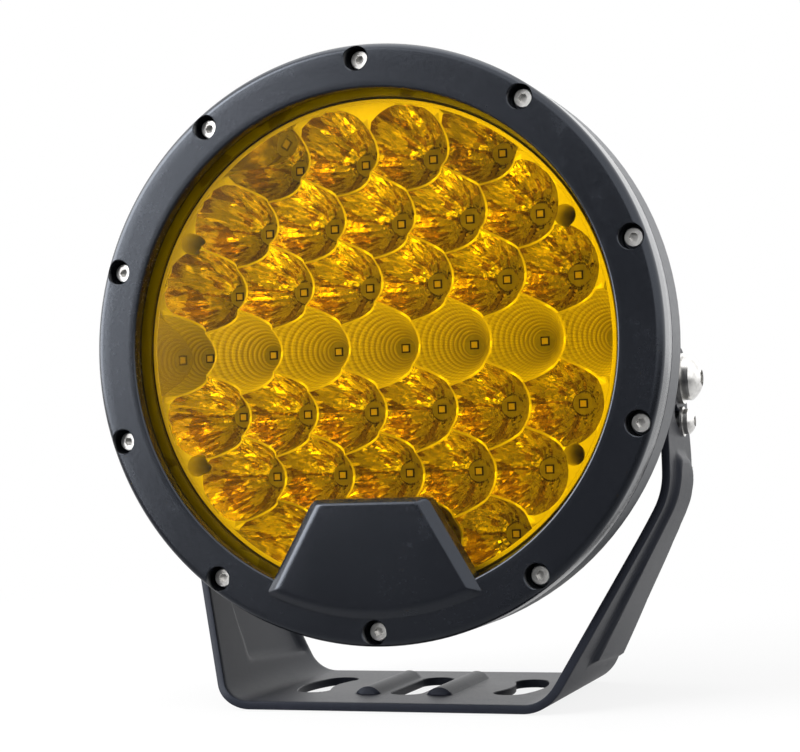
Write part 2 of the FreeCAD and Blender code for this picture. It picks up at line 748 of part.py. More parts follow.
def reflector():
    cup = reflector_cup()
    cups = []
    for x, z in cup_centres():
        piece = cup.copy()
        piece.translate(V(x, 0, z))
        cups.append(piece)
    floor_front = REFLECTOR_BACK - REFLECTOR_FLOOR
    skirt = ring(REFLECTOR_RADIUS, REFLECTOR_RADIUS - REFLECTOR_RIM, REFLECTOR_FRONT, REFLECTOR_BACK)
    base = disc(REFLECTOR_RADIUS, floor_front, REFLECTOR_BACK)
    past = REFLECTOR_BACK + PAST
    eyes = [disc(CUP_EYE, floor_front - PAST, past, x, z) for x, z in cup_centres()]
    inside = [disc(CUP_FLOOR_OPENING, floor_front - PAST, past, x, z) for x, z in cup_centres()]
    body = cups[0].multiFuse(cups[1:])
    body = body.common(disc(REFLECTOR_RADIUS - REFLECTOR_RIM / 2, REFLECTOR_FRONT, REFLECTOR_BACK))
    base = base.cut(inside)
    body = body.multiFuse([skirt, base])
    posts = []
    wells = []
    hole = SMALL_SCREW_RADIUS + SCREW_CLEARANCE
    for x, z in well_places():
        posts.append(disc(WELL_RADIUS + WELL_WALL, REFLECTOR_FRONT, REFLECTOR_BACK, x, z))
        wells.append(disc(WELL_RADIUS, REFLECTOR_FRONT - PAST, REFLECTOR_FRONT + WELL_DEPTH, x, z))
        wells.append(disc(hole, REFLECTOR_FRONT, past, x, z))
    return body.multiFuse(posts).cut(wells + eyes).removeSplitter()


def led_emitters():
    leds = []
    half = LED_SIDE / 2
    for x, z in cup_centres():
        corner = lamp_point(x - half, REFLECTOR_BACK - LED_THICK, z - half)
        step = Y * (LED_THICK - LED_BASE)
        base = Part.makeBox(LED_SIDE, LED_BASE, LED_SIDE, corner + step)
        die = LED_SIDE - 2 * LED_BORDER
        top = Part.makeBox(die, LED_THICK, die, corner + V(LED_BORDER, 0, LED_BORDER))
        leds.append(base.fuse(top))
    return Part.makeCompound(leds)


def lead_places():
    """Where the two leads pass through the housing's floor."""
    return [(side * LEAD_SPACING / 2, LEAD_RISE) for side in BOTH_SIDES]


def led_board():
    board = disc(BOARD_RADIUS, REFLECTOR_BACK, BOARD_BACK)
    hole = SMALL_SCREW_RADIUS + SCREW_CLEARANCE
    cuts = [disc(hole, REFLECTOR_BACK - PAST, BOARD_BACK + PAST, x, z) for x, z in well_places()]
    return board.cut(cuts)


def thermal_pad():
    pad = disc(BOARD_RADIUS - PAD_INSET, BOARD_BACK, FLOOR_FRONT)
    start = BOARD_BACK - PAST
    end = FLOOR_FRONT + PAST
    cuts = [disc(SMALL_SCREW_RADIUS + PAD_HOLE_GAP, start, end, x, z) for x, z in well_places()]
    cuts.append(disc(GROMMET_RADIUS, start, end, 0, LEAD_RISE))
    return pad.cut(cuts)


def pan_screw(seat, length, x, z):
    """Small pan-head screw along the lamp's axis, its head in front of the seat."""
    head = disc(SMALL_HEAD_RADIUS, seat - SMALL_HEAD, seat, x, z)
    shank = disc(SMALL_SCREW_RADIUS - THREAD_GAP, seat, seat + length, x, z)
    top = seat - SMALL_HEAD
    return head.fuse(shank).cut(hexagon(SMALL_SOCKET, top - PAST, top + SMALL_SOCKET_DEPTH, x, z))


def reflector_screws():
    seat = REFLECTOR_FRONT + WELL_DEPTH
    length = FLOOR_FRONT + SMALL_THREAD - seat
    return Part.makeCompound([pan_screw(seat, length, x, z) for x, z in well_places()])


# ---------------------------------------------------------------- rear housing


def fins():
    """Upright cooling fins across the back, trimmed round."""
    count = int(FIN_RADIUS / FIN_PITCH)
    blades = []
    for i in range(-count, count + 1):
        x = i * FIN_PITCH
        corner = lamp_point(x - FIN_THICK / 2, FLOOR_BACK - PAST, -FIN_RADIUS)
        blades.append(Part.makeBox(FIN_THICK, FIN_DEPTH + PAST, 2 * FIN_RADIUS, corner))
    shell = turned([
        (0, FLOOR_BACK - PAST),
        (FIN_RADIUS, FLOOR_BACK - PAST),
        (FIN_RADIUS, FLOOR_BACK + FIN_DEPTH * FIN_TAPER_SHARE),
        (FIN_RADIUS - FIN_TAPER, FLOOR_BACK + FIN_DEPTH),
        (0, FLOOR_BACK + FIN_DEPTH),
    ])
    return Part.makeCompound(blades).common(shell)


def side_bosses():
    """Bosses that carry the pivot bolts and, below them, the lock bolts."""
    length = ARM_INNER - SIDE_GAP - BOSS_INNER
    pivot = side_bar(BOSS_RADIUS, BOSS_INNER, length, 0)
    lock = side_bar(BOSS_LOCK_RADIUS, BOSS_INNER, length, LOCK_DROP)
    web = Part.makeBox(length, 2 * BOSS_LOCK_RADIUS, LOCK_DROP)
    web.translate(V(BOSS_INNER, PIVOT_BACK - BOSS_LOCK_RADIUS, PIVOT_HEIGHT - LOCK_DROP))
    return both_sides(pivot.multiFuse([lock, web])).Solids


def standoff_places():
    return [polar(STANDOFF_CIRCLE, 90 + 120 * i) for i in range(3)]


def cover_screw_places():
    return [polar(COVER_SCREW_CIRCLE, 60 * i) for i in range(COVER_SCREW_COUNT)]


def rear_housing():
    shell = turned([
        (0, FLOOR_FRONT),
        (BOWL_RADIUS, FLOOR_FRONT),
        (BOWL_RADIUS, GASKET_BACK),
        (LENS_RADIUS, GASKET_BACK),
        (LENS_RADIUS, BEZEL_DEPTH),
        (HEAD_RADIUS - SEAM_CHAMFER, BEZEL_DEPTH),
        (HEAD_RADIUS, BEZEL_DEPTH + SEAM_CHAMFER),
        (HEAD_RADIUS, FLANGE_BACK - FLANGE_CHAMFER),
        (HEAD_RADIUS - FLANGE_CHAMFER, FLANGE_BACK),
        (BODY_RADIUS, FLANGE_BACK),
        (BODY_RADIUS, FLOOR_BACK),
        (0, FLOOR_BACK),
    ])
    chamber = disc(COVER_RADIUS, FLOOR_BACK - PAST, CHAMBER_BACK)
    keep_out = disc(COVER_RADIUS + COVER_FIN_GAP, CHAMBER_BACK, COVER_BACK + FIN_DEPTH)
    body = shell.multiFuse([fins(), chamber] + side_bosses())
    body = body.cut([keep_out, disc(CHAMBER_RADIUS, FLOOR_BACK, CHAMBER_BACK + PAST)])
    places = standoff_places()
    posts = [disc(STANDOFF_RADIUS, FLOOR_BACK - PAST, DRIVER_FRONT, x, z) for x, z in places]
    body = body.multiFuse(posts)
    cuts = [disc(GROMMET_RADIUS, FLOOR_FRONT - PAST, FLOOR_BACK + PAST, 0, LEAD_RISE)]
    screw = SMALL_SCREW_RADIUS
    for x, z in well_places():
        cuts.append(disc(screw, FLOOR_FRONT - PAST, FLOOR_FRONT + SMALL_THREAD + HOLE_SPARE, x, z))
    for x, z in places:
        end = DRIVER_FRONT - STANDOFF_THREAD - HOLE_SPARE
        cuts.append(disc(screw, end, DRIVER_FRONT + PAST, x, z))
    for x, z in cover_screw_places():
        end = CHAMBER_BACK - COVER_SCREW_THREAD - HOLE_SPARE
        cuts.append(disc(screw, end, CHAMBER_BACK + PAST, x, z))
    for x, z in bezel_screw_places():
        tip = POCKET_DEPTH + BEZEL_SCREW_LENGTH + HOLE_SPARE
        cuts.append(disc(BEZEL_SCREW_RADIUS + THREAD_GAP, BEZEL_DEPTH - PAST, tip, x, z))
    for radius, drop, thread in ((PIVOT_BOLT_RADIUS, 0, PIVOT_THREAD_DEPTH),
                                 (LOCK_BOLT_RADIUS, LOCK_DROP, LOCK_THREAD_DEPTH)):
        start = ARM_INNER - SIDE_GAP - thread - HOLE_SPARE
        bar = side_bar(radius, start, thread + HOLE_SPARE + PAST, drop)
        cuts += both_sides(bar).Solids
    return body.cut(cuts)


# ---------------------------------------------------------------- driver and rear cover


def driver_board():
    board = disc(DRIVER_RADIUS, DRIVER_FRONT, DRIVER_BACK)
    hole = SMALL_SCREW_RADIUS + SCREW_CLEARANCE
    cuts = [disc(hole, DRIVER_FRONT - PAST, DRIVER_BACK + PAST, x, z) for x, z in standoff_places()]
    return board.cut(cuts)


def back_screw(seat, length, x, z):
    """Small pan-head screw with its head behind the seat, pointing forwards."""
    head = disc(SMALL_HEAD_RADIUS, seat, seat + SMALL_HEAD, x, z)
    shank = disc(SMALL_SCREW_RADIUS - THREAD_GAP, seat - length, seat, x, z)
    top = seat + SMALL_HEAD
    return head.fuse(shank).cut(hexagon(SMALL_SOCKET, top - SMALL_SOCKET_DEPTH, top + PAST, x, z))


def driver_board_screws():
    length = DRIVER_THICK + STANDOFF_THREAD
    return Part.makeCompound([back_screw(DRIVER_BACK, length, x, z) for x, z in standoff_places()])


def driver_coils():
    """Two wound chokes lying on the board."""
    end = DRIVER_BACK + COIL_THICK
    coils = [ring(COIL_RADIUS, COIL_EYE, DRIVER_BACK, end, side * COIL_SIDE, -COIL_DROP)
             for side in BOTH_SIDES]
    return Part.makeCompound(coils)


def driver_capacitors():
    end = DRIVER_BACK + CAPACITOR_LENGTH
    cans = [disc(CAPACITOR_RADIUS, DRIVER_BACK, end, i * CAPACITOR_PITCH, CAPACITOR_RISE)
            for i in (-1, 0, 1)]
    return Part.makeCompound(cans)


def driver_switches():
    """Flat switching chips beside the chokes."""
    chips = []
    for x in CHIP_PLACES:
        corner = lamp_point(x - CHIP_WIDTH / 2, DRIVER_BACK, -CHIP_DROP)
        chips.append(Part.makeBox(CHIP_WIDTH, CHIP_THICK, CHIP_HEIGHT, corner))
    return Part.makeCompound(chips)


def driver_terminal():
    """Two-way screw terminal that takes the cable's wires."""
    corner = lamp_point(-TERMINAL_WIDTH / 2, DRIVER_BACK, -TERMINAL_DROP)
    block = Part.makeBox(TERMINAL_WIDTH, TERMINAL_THICK, TERMINAL_HEIGHT, corner)
    z = TERMINAL_HEIGHT / 2 - TERMINAL_DROP
    start = DRIVER_BACK + TERMINAL_PORT_FLOOR
    end = DRIVER_BACK + TERMINAL_THICK + PAST
    ports = [disc(TERMINAL_PORT, start, end, side * TERMINAL_PORT_PITCH / 2, z) for side in BOTH_SIDES]
    return block.cut(ports)


def led_leads():
    """Two short leads from the LED board to the driver board, through the grommet."""
    leads = [disc(LEAD_RADIUS, BOARD_BACK, DRIVER_FRONT, x, z) for x, z in lead_places()]
    return Part.makeCompound(leads)


def lead_grommet():
    """Rubber grommet in the housing's floor, with a lip on the driver's side."""
    body = disc(GROMMET_RADIUS, FLOOR_FRONT, FLOOR_BACK, 0, LEAD_RISE)
    lip = disc(GROMMET_RADIUS + GROMMET_LIP, FLOOR_BACK, FLOOR_BACK + GROMMET_LIP, 0, LEAD_RISE)
    end = FLOOR_BACK + GROMMET_LIP + PAST
    holes = [disc(LEAD_RADIUS + LEAD_GAP, FLOOR_FRONT - PAST, end, x, z) for x, z in lead_places()]
    return body.fuse(lip).cut(holes)


def rear_cover_gasket():
    gasket = ring(COVER_RADIUS, CHAMBER_RADIUS, CHAMBER_BACK, COVER_FRONT)
    hole = SMALL_SCREW_RADIUS + SCREW_CLEARANCE
    start = CHAMBER_BACK - PAST
    end = COVER_FRONT + PAST
    return gasket.cut([disc(hole, start, end, x, z) for x, z in cover_screw_places()])


def rear_cover():
    """Round plate over the driver, with holes for the gland and the breather vent."""
    plate = turned([
        (0, COVER_FRONT),
        (COVER_RADIUS, COVER_FRONT),
        (COVER_RADIUS, COVER_BACK - COVER_EDGE),
        (COVER_RADIUS - COVER_EDGE, COVER_BACK),
        (0, COVER_BACK),
    ])
    hole = SMALL_SCREW_RADIUS + SCREW_CLEARANCE
    start = COVER_FRONT - PAST
    end = COVER_BACK + PAST
    cuts = [disc(hole, start, end, x, z) for x, z in cover_screw_places()]
    cuts.append(disc(GLAND_THREAD_RADIUS + SCREW_CLEARANCE, start, end, 0, -GLAND_DROP))
    cuts.append(disc(VENT_STEM_RADIUS + THREAD_GAP, start, end, 0, VENT_RISE))
    return plate.cut(cuts)


def rear_cover_screws():
    length = COVER_THICK + COVER_GASKET + COVER_SCREW_THREAD
    return Part.makeCompound([back_screw(COVER_BACK, length, x, z) for x, z in cover_screw_places()])


def breather_vent():
    """Vent plug with a low cap, pressed through the cover."""
    cap = turned([
        (0, COVER_BACK),
        (VENT_RADIUS, COVER_BACK),
        (VENT_RADIUS, COVER_BACK + VENT_THICK - VENT_EDGE),
        (VENT_RADIUS - VENT_EDGE, COVER_BACK + VENT_THICK),
        (0, COVER_BACK + VENT_THICK),
    ])
    stem = disc(VENT_STEM_RADIUS, COVER_FRONT - VENT_STEM_LENGTH, COVER_BACK + VENT_EDGE)
    vent = cap.fuse(stem)
    vent.translate(V(0, 0, VENT_RISE))
    return vent


def gland_body():
    """Threaded gland: stem through the cover, hexagon outside it and a tail for the nut."""
    flange = COVER_BACK + GLAND_WASHER_THICK
    shoulder = flange + GLAND_HEX_THICK
    tip = COVER_FRONT - LOCK_NUT_THICK - GLAND_STEM_SPARE
    end = shoulder + GLAND_TAIL
    stem = disc(GLAND_THREAD_RADIUS, tip, flange + PAST)
    head = hexagon(GLAND_HEX, flange, shoulder)
    tail = disc(GLAND_THREAD_RADIUS - GLAND_TAIL_WALL, flange, end)
    bore = disc(GLAND_BORE, tip - PAST, end + PAST)
    seat = disc(GLAND_BORE + GLAND_SEAL_WALL, shoulder, end + PAST)
    body = stem.multiFuse([head, tail]).cut([bore, seat])
    body.translate(V(0, 0, -GLAND_DROP))
    return body


def gland_washer():
    outer = GLAND_THREAD_RADIUS + GLAND_WASHER_RIM
    hole = GLAND_THREAD_RADIUS + THREAD_GAP
    return ring(outer, hole, COVER_BACK, COVER_BACK + GLAND_WASHER_THICK, 0, -GLAND_DROP)


def gland_lock_nut():
    start = COVER_FRONT - LOCK_NUT_THICK
    nut = hexagon(LOCK_NUT_HEX, start, COVER_FRONT, 0, -GLAND_DROP)
    hole = GLAND_THREAD_RADIUS + THREAD_GAP
    return nut.cut(disc(hole, start - PAST, COVER_FRONT + PAST, 0, -GLAND_DROP))


def gland_seal():
    """Rubber bush squeezed round the cable inside the gland's tail."""
    start = COVER_BACK + GLAND_WASHER_THICK + GLAND_HEX_THICK + THREAD_GAP
    outer = GLAND_BORE + GLAND_SEAL_WALL - THREAD_GAP
    return ring(outer, CABLE_RADIUS, start, start + GLAND_TAIL, 0, -GLAND_DROP)


def gland_nut():
    """Domed nut over the gland's tail: hexagonal skirt and a rounded nose."""
    start = COVER_BACK + GLAND_WASHER_THICK + GLAND_HEX_THICK + GLAND_NUT_GAP
    end = start + GLAND_NUT_LENGTH
    skirt = hexagon(GLAND_HEX, start, start + GLAND_NUT_LENGTH * GLAND_SKIRT_SHARE)
    half = GLAND_HEX / 2
    dome = turned([
        (0, start),
        (half - 0.2, start),
        (half - 0.2, end - 6),
        (half - 1.4, end - 3),
        (half - 4, end),
        (0, end),
    ])
    tail = GLAND_THREAD_RADIUS - GLAND_TAIL_WALL + THREAD_GAP
    hollow = disc(tail, start - PAST, start + GLAND_TAIL + GLAND_NUT_GAP)
    nut = skirt.fuse(dome).cut([hollow, disc(GLAND_BORE, start, end + PAST)])
    nut.translate(V(0, 0, -GLAND_DROP))
    return nut


def build_all():
    os.makedirs("parts", exist_ok=True)
    makers = [
        mounting_bracket, pivot_bolts, pivot_flat_washers, pivot_spring_washers,
        lock_bolts, lock_flat_washers, lock_spring_washers,
        front_bezel, bezel_screws, amber_lens, lens_gasket,
        reflector, reflector_screws, led_emitters, led_board, thermal_pad,
        rear_housing, driver_board, driver_board_screws, driver_coils, driver_capacitors,
        driver_switches, driver_terminal, led_leads, lead_grommet,
        rear_cover_gasket, rear_cover, rear_cover_screws, breather_vent,
        gland_body, gland_washer, gland_lock_nut, gland_seal, gland_nut,
    ]
    for make in makers:
        make().exportStep("parts/" + make.__name__ + ".step")


build_all()
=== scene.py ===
import json
import math
import random
import bmesh
import bpy
from bpy.props import FloatProperty, FloatVectorProperty, IntProperty, PointerProperty
from mathutils import Matrix, Vector


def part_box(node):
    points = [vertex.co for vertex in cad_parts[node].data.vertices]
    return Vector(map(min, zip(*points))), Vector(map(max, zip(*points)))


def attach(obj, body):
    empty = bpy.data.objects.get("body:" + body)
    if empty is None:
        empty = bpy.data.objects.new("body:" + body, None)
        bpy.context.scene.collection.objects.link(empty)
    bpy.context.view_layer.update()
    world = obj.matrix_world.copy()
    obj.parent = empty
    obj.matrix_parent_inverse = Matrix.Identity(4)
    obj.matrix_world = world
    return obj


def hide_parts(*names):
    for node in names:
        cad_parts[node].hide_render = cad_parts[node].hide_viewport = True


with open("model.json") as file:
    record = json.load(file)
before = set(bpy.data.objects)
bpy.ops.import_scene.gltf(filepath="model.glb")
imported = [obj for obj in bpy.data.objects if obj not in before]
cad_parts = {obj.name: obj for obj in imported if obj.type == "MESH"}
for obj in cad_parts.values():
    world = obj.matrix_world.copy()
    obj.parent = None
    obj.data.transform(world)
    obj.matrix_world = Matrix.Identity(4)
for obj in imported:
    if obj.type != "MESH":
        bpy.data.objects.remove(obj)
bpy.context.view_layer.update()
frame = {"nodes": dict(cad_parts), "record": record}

bl_info = {
    "name": "Round LED fog lamp",
    "version": (1, 0, 0),
    "blender": (4, 5, 0),
    "location": "3D View > Sidebar > Fog lamp",
    "description": "Builds a round amber fog lamp on a slotted foot, its finishes and its stage",
    "category": "Object",
}

MM = 0.001
SIDES = (-1, 1)

# ------------------------------------------------------------------ places read from the frame

LENS_LOW, LENS_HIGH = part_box("amber_lens")
BEZEL_LOW, BEZEL_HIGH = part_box("front_bezel")
CUPS_LOW, CUPS_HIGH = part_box("reflector")
STRAP_LOW, STRAP_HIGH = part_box("mounting_bracket")
EMITTERS_LOW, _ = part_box("led_emitters")
PIVOT = Vector(frame["record"]["behaviour"]["joints"][0]["pos_m"]) / MM
AXIS_Z = (LENS_LOW.z + LENS_HIGH.z) / 2 / MM
LENS_SETBACK = 7.5
FACE_Y = LENS_LOW.y / MM - LENS_SETBACK
HEAD_RADIUS = BEZEL_HIGH.x / MM
BEZEL_DEPTH = 14.7
CREST = FACE_Y - BEZEL_LOW.y / MM


def lamp_point(x, depth, z):
    """A point in millimetres given from the lamp's axis and the bezel's face, in metres."""
    return Vector((x, FACE_Y + depth, AXIS_Z + z)) * MM


def polar(radius, degrees):
    angle = math.radians(degrees)
    return radius * math.cos(angle), radius * math.sin(angle)


# ------------------------------------------------------------------ settings a user would change


class BracketSettings(bpy.types.PropertyGroup):
    strap: FloatProperty(name="Strap thickness", description="Thickness of the pressed strap",
                         default=3.2 * MM, unit="LENGTH")
    edge: FloatProperty(name="Edge rounding", description="Radius along the strap's cut edges",
                        default=0.5 * MM, unit="LENGTH")
    bead_draft: FloatProperty(name="Bead draft", description="Width of the slope round each bead",
                              default=3.4 * MM, unit="LENGTH")
    colour: FloatVectorProperty(name="Coat", description="Colour of the bracket's powder coat",
                                default=(0.0135, 0.015, 0.021), subtype="COLOR")
    roughness: FloatProperty(name="Roughness", description="Roughness of the coat",
                             default=0.42, subtype="FACTOR")


class HeadSettings(bpy.types.PropertyGroup):
    coat: FloatVectorProperty(name="Bezel coat", description="Colour of the bezel's powder coat",
                              default=(0.0042, 0.0048, 0.0068), subtype="COLOR")
    coat_roughness: FloatProperty(name="Bezel roughness", description="Roughness of the coat",
                                  default=0.25, subtype="FACTOR")
    steel: FloatVectorProperty(name="Steel", description="Colour of the stainless fasteners",
                               default=(0.74, 0.73, 0.71), subtype="COLOR")
    segments: IntProperty(name="Ring segments", description="Divisions round the bezel",
                          default=240)


class OpticSettings(bpy.types.PropertyGroup):
    tint: FloatVectorProperty(name="Glass tint", description="Tint of one face of the lens",
                              default=(1.0, 0.872, 0.1), subtype="COLOR")
    metal: FloatVectorProperty(name="Metallising", description="Colour of the faceted cups",
                               default=(1.0, 0.97, 0.9), subtype="COLOR")
    # Colour of the dark streaks, painted reflections on the cups' facets.
    painted_dark_reflection: FloatVectorProperty(name="Streaks", description="Colour of the facets' dark streaks",
                                default=(0.46, 0.29, 0.15), subtype="COLOR")
    beads: FloatVectorProperty(name="Beads", description="Colour of the ringed cups' beads",
                               default=(1.0, 0.98, 0.93), subtype="COLOR")
    # Colour of the shade painted into the grooves between the beads.
    groove_painted_shade: FloatVectorProperty(name="Grooves", description="Colour between the beads",
                                default=(0.16, 0.075, 0.02), subtype="COLOR")
    facet: FloatProperty(name="Facet depth", description="How far the cups' facets wander",
                         default=0.3 * MM, unit="LENGTH")
    rings: IntProperty(name="Facet rings", description="Facets from a cup's eye to its mouth",
                       default=8)


class StageSettings(bpy.types.PropertyGroup):
    key: FloatProperty(name="Key lamp", description="Power of the soft box at the left",
                       default=54.0, unit="POWER")
    top: FloatProperty(name="Top lamp", description="Power of the soft box overhead", default=9.0,
                       unit="POWER")
    lens: FloatProperty(name="Lens", description="The camera's focal length in millimetres",
                        default=82.35)
    roll: FloatProperty(name="Roll", description="How far the camera leans to the right",
                        default=math.radians(1.955), subtype="ANGLE")


# ------------------------------------------------------------------ shader expressions


class Wire:
    """A number on its way between nodes. Arithmetic on it adds Math nodes."""

    def __init__(self, finish, socket):
        self.finish = finish
        self.socket = socket

    def math(self, operation, *values):
        return self.finish.add("Math", {"operation": operation}, dict(enumerate(values)))

    def __add__(self, other):
        return self.math("ADD", self, other)

    def __radd__(self, other):
        return self.math("ADD", other, self)

    def __sub__(self, other):
        return self.math("SUBTRACT", self, other)

    def __rsub__(self, other):
        return self.math("SUBTRACT", other, self)

    def __mul__(self, other):
        return self.math("MULTIPLY", self, other)

    def __rmul__(self, other):
        return self.math("MULTIPLY", other, self)

    def sine(self):
        return self.math("SINE", self)

    def power(self, other):
        return self.math("POWER", self, other)

    def larger(self, other):
        return self.math("MAXIMUM", self, other)

    def smaller(self, other):
        return self.math("MINIMUM", self, other)

    def step(self, low, high):
        """0 below low and 1 above high, with a soft step between."""
        return self.finish.add(
            "MapRange", {"interpolation_type": "SMOOTHSTEP"},
            {"Value": self, "From Min": low, "From Max": high})


class Finish:
    """A material or a world while its nodes are laid out."""

    def __init__(self, owner):
        self.owner = owner
        owner.use_nodes = True
        self.tree = owner.node_tree
        self.tree.nodes.clear()

    def add(self, kind, settings=None, sockets=None, out=0):
        """One node: its settings are set first, then its sockets' values or links."""
        node = self.tree.nodes.new("ShaderNode" + kind)
        for name, value in (settings or {}).items():
            setattr(node, name, value)
        for name, value in (sockets or {}).items():
            if isinstance(value, Wire):
                self.tree.links.new(value.socket, node.inputs[name])
            else:
                node.inputs[name].default_value = value
        return Wire(self, node.outputs[out]) if node.outputs else None

    def place(self):
        return self.add("TexCoord", out="Object")

    def noise(self, scale, detail=2.0, place=None, roughness=0.5):
        return self.add("TexNoise", {}, {"Vector": place or self.place(), "Scale": scale,
                                         "Detail": detail, "Roughness": roughness})

    def stretched(self, x, y, z, place=None):
        return self.add("Mapping", {}, {"Vector": place or self.place(), "Scale": (x, y, z)})

    def mix(self, factor, first, second):
        first = first if isinstance(first, Wire) else (*first, 1)
        second = second if isinstance(second, Wire) else (*second, 1)
        return self.add("Mix", {"data_type": "RGBA"}, {0: factor, 6: first, 7: second}, out=2)

    def bump(self, height, distance, strength=1.0):
        return self.add("Bump", {}, {"Height": height, "Distance": distance, "Strength": strength})

    def principled(self, sockets):
        return self.add("BsdfPrincipled", {}, sockets)

    def done(self, surface):
        self.add("OutputMaterial", {}, {"Surface": surface})
        return self.owner


def new_finish(name):
    return Finish(bpy.data.materials.new(name))


def shade(colour, factor):
    return tuple(min(1.0, part * factor) for part in colour)


def powder_coat(name, colour, roughness, grain=1.0, gloss=1.55):
    """Satin powder coat: orange peel, fine grain and faint handling marks."""
    f = new_finish(name)
    broad = f.noise(16, 3)
    peel = f.noise(850, 2)
    fine = f.noise(3600, 1)
    scuff = f.noise(1.0, 4, f.stretched(70, 300, 60), 0.65).step(0.56, 0.78)
    base = f.mix(broad, shade(colour, 0.82), shade(colour, 1.22))
    base = f.mix(scuff * 0.3, base, shade(colour, 2.0))
    height = peel * 0.65 + fine * 0.35
    return f.done(f.principled({
        "Base Color": base,
        "Roughness": roughness + (broad - 0.5) * 0.1 + (peel - 0.5) * 0.08 + scuff * 0.05,
        "Normal": f.bump(height, grain * 6e-5),
        "IOR": gloss,
        "Specular Tint": (0.8, 0.87, 1.0, 1),
    }))


def cast_coat(name, colour, roughness):
    """Powder coat over a sand-textured casting."""
    f = new_finish(name)
    broad = f.noise(12, 3)
    sand = f.noise(620, 3)
    pits = f.noise(1500, 1)
    return f.done(f.principled({
        "Base Color": f.mix(broad, shade(colour, 0.8), shade(colour, 1.25)),
        "Roughness": roughness + (broad - 0.5) * 0.12 + (sand - 0.5) * 0.1,
        "Normal": f.bump(sand * 0.7 + pits * 0.3, 8e-5),
        "IOR": 1.6,
        "Specular Tint": (0.86, 0.91, 1.0, 1),
    }))


def stainless(name, colour):
    """Machined stainless steel with fine tool lines and a few dull spots."""
    f = new_finish(name)
    place = f.place()
    lines = f.noise(1.0, 2, f.stretched(900, 5200, 900, place))
    cloud = f.noise(420, 3, place)
    return f.done(f.principled({
        "Base Color": f.mix(cloud.step(0.35, 0.75), colour, shade(colour, 0.72)),
        "Metallic": 1.0,
        "Roughness": 0.2 + lines * 0.12 + cloud * 0.12,
        "Normal": f.bump(lines * 0.6 + cloud * 0.4, 2.5e-5),
    }))


def moulded(name, colour, roughness, grain=500.0, depth=4e-5):
    """Moulded plastic or rubber with a fine grain."""
    f = new_finish(name)
    broad = f.noise(60, 2)
    fine = f.noise(grain, 2)
    return f.done(f.principled({
        "Base Color": f.mix(broad, shade(colour, 0.8), shade(colour, 1.2)),
        "Roughness": roughness + (fine - 0.5) * 0.12,
        "Normal": f.bump(fine, depth),
    }))


def amber_glass(name, tint):
    """Clear amber glass: what is behind it shows through, tinted, under a faint reflection."""
    f = new_finish(name)
    smear = f.noise(28, 4, roughness=0.6)
    gloss = f.add("BsdfGlossy", {}, {"Color": (0.4, 0.4, 0.4, 1),
                                     "Roughness": 0.16 + smear * 0.08})
    clear = f.add("BsdfTransparent", {}, {"Color": (*tint, 1)})
    edge_on = f.add("LayerWeight", {}, {"Blend": 0.5}, out=1)
    mirror = 0.04 + edge_on.power(5.0) * 0.9
    return f.done(f.add("MixShader", {}, {0: mirror, 1: clear, 2: gloss}))


def bright_cup(name, settings, fineness):
    """Vacuum-metallised wall of a cup, with flow lines, and dark streaks down it that are painted
    reflections.
    """
    f = new_finish(name)
    wall = f.add("UVMap", {"uv_map": "cup"})
    flow = f.noise(1.0, 3, f.stretched(90 * fineness, 2.2, 1, wall))
    broad = f.noise(1.0, 2, f.stretched(9, 2, 1, wall))
    # Painted reflection: dark streaks down the facets, alike in every cup.
    painted_dark_reflection = f.noise(1.0, 3, f.stretched(17, 2.4, 1, wall), 0.6).step(0.51, 0.56)
    return f.done(f.principled({
        "Base Color": f.mix(painted_dark_reflection * 0.9, settings.metal, settings.painted_dark_reflection),
        "Metallic": 0.84,
        "Roughness": 0.04 + flow * 0.06,
        "Normal": f.bump(flow * 0.35 + broad * 0.65, 7e-5),
    }))


def ringed_cup(name, settings):
    """Metallised wall with beaded rings, one above another, with shade painted dark into the
    grooves between them and along faint spokes, strongest deep in the cup.
    """
    f = new_finish(name)
    wall = f.add("UVMap", {"uv_map": "cup"})
    u = f.add("SeparateXYZ", {}, {0: wall}, out=0)
    v = f.add("SeparateXYZ", {}, {0: wall}, out=1)
    rings = (v * (math.tau * CUP_RINGS)).sine()
    beads = (u * (math.tau * CUP_BEADS)).sine()
    height = rings * 0.7 + beads * rings * 0.3
    groove_painted_shade = (0.0 - rings).step(-0.1, 0.7)
    spoke = (u * (math.tau * CUP_SPOKES)).sine().step(0.3, 0.9)
    # Painted shade: dark in the grooves and along the spokes, fading towards the cup's mouth.
    mark = (groove_painted_shade + spoke * 0.35) * (1.0 - v * 0.35)
    return f.done(f.principled({
        "Base Color": f.mix((mark * 0.62).smaller(0.62), settings.beads, settings.groove_painted_shade),
        "Metallic": 0.2,
        "Roughness": 0.2 + groove_painted_shade * 0.15,
        "Normal": f.bump(height, 1.6e-4, 0.8),
    }))


def painted_ridge_highlight(name):
    """Ridges and rim of the reflector, painted pale and hardly metallic as a highlight along them.
    """
    f = new_finish(name)
    cloud = f.noise(700, 2)
    return f.done(f.principled({
        "Base Color": f.mix(cloud, (0.93, 0.9, 0.84), (0.8, 0.77, 0.7)),
        "Metallic": 0.15,
        "Roughness": 0.3 + cloud * 0.1,
        "Normal": f.bump(cloud, 4e-5),
    }))


def emitter(name):
    """LED package: a yellow phosphor face on a dark frame."""
    f = new_finish(name)
    place = f.place()
    y = f.add("SeparateXYZ", {}, {0: place}, out=1)
    front = EMITTERS_LOW.y
    frame_mask = y.step(front + 0.04 * MM, front + 0.1 * MM)
    grain = f.noise(5200, 2, place)
    die = f.mix(grain, (1.0, 0.9, 0.3), (0.95, 0.78, 0.2))
    return f.done(f.principled({
        "Base Color": f.mix(frame_mask, die, (0.03, 0.028, 0.025)),
        "Roughness": 0.42 + grain * 0.16,
        "Normal": f.bump(grain, 3e-5),
    }))


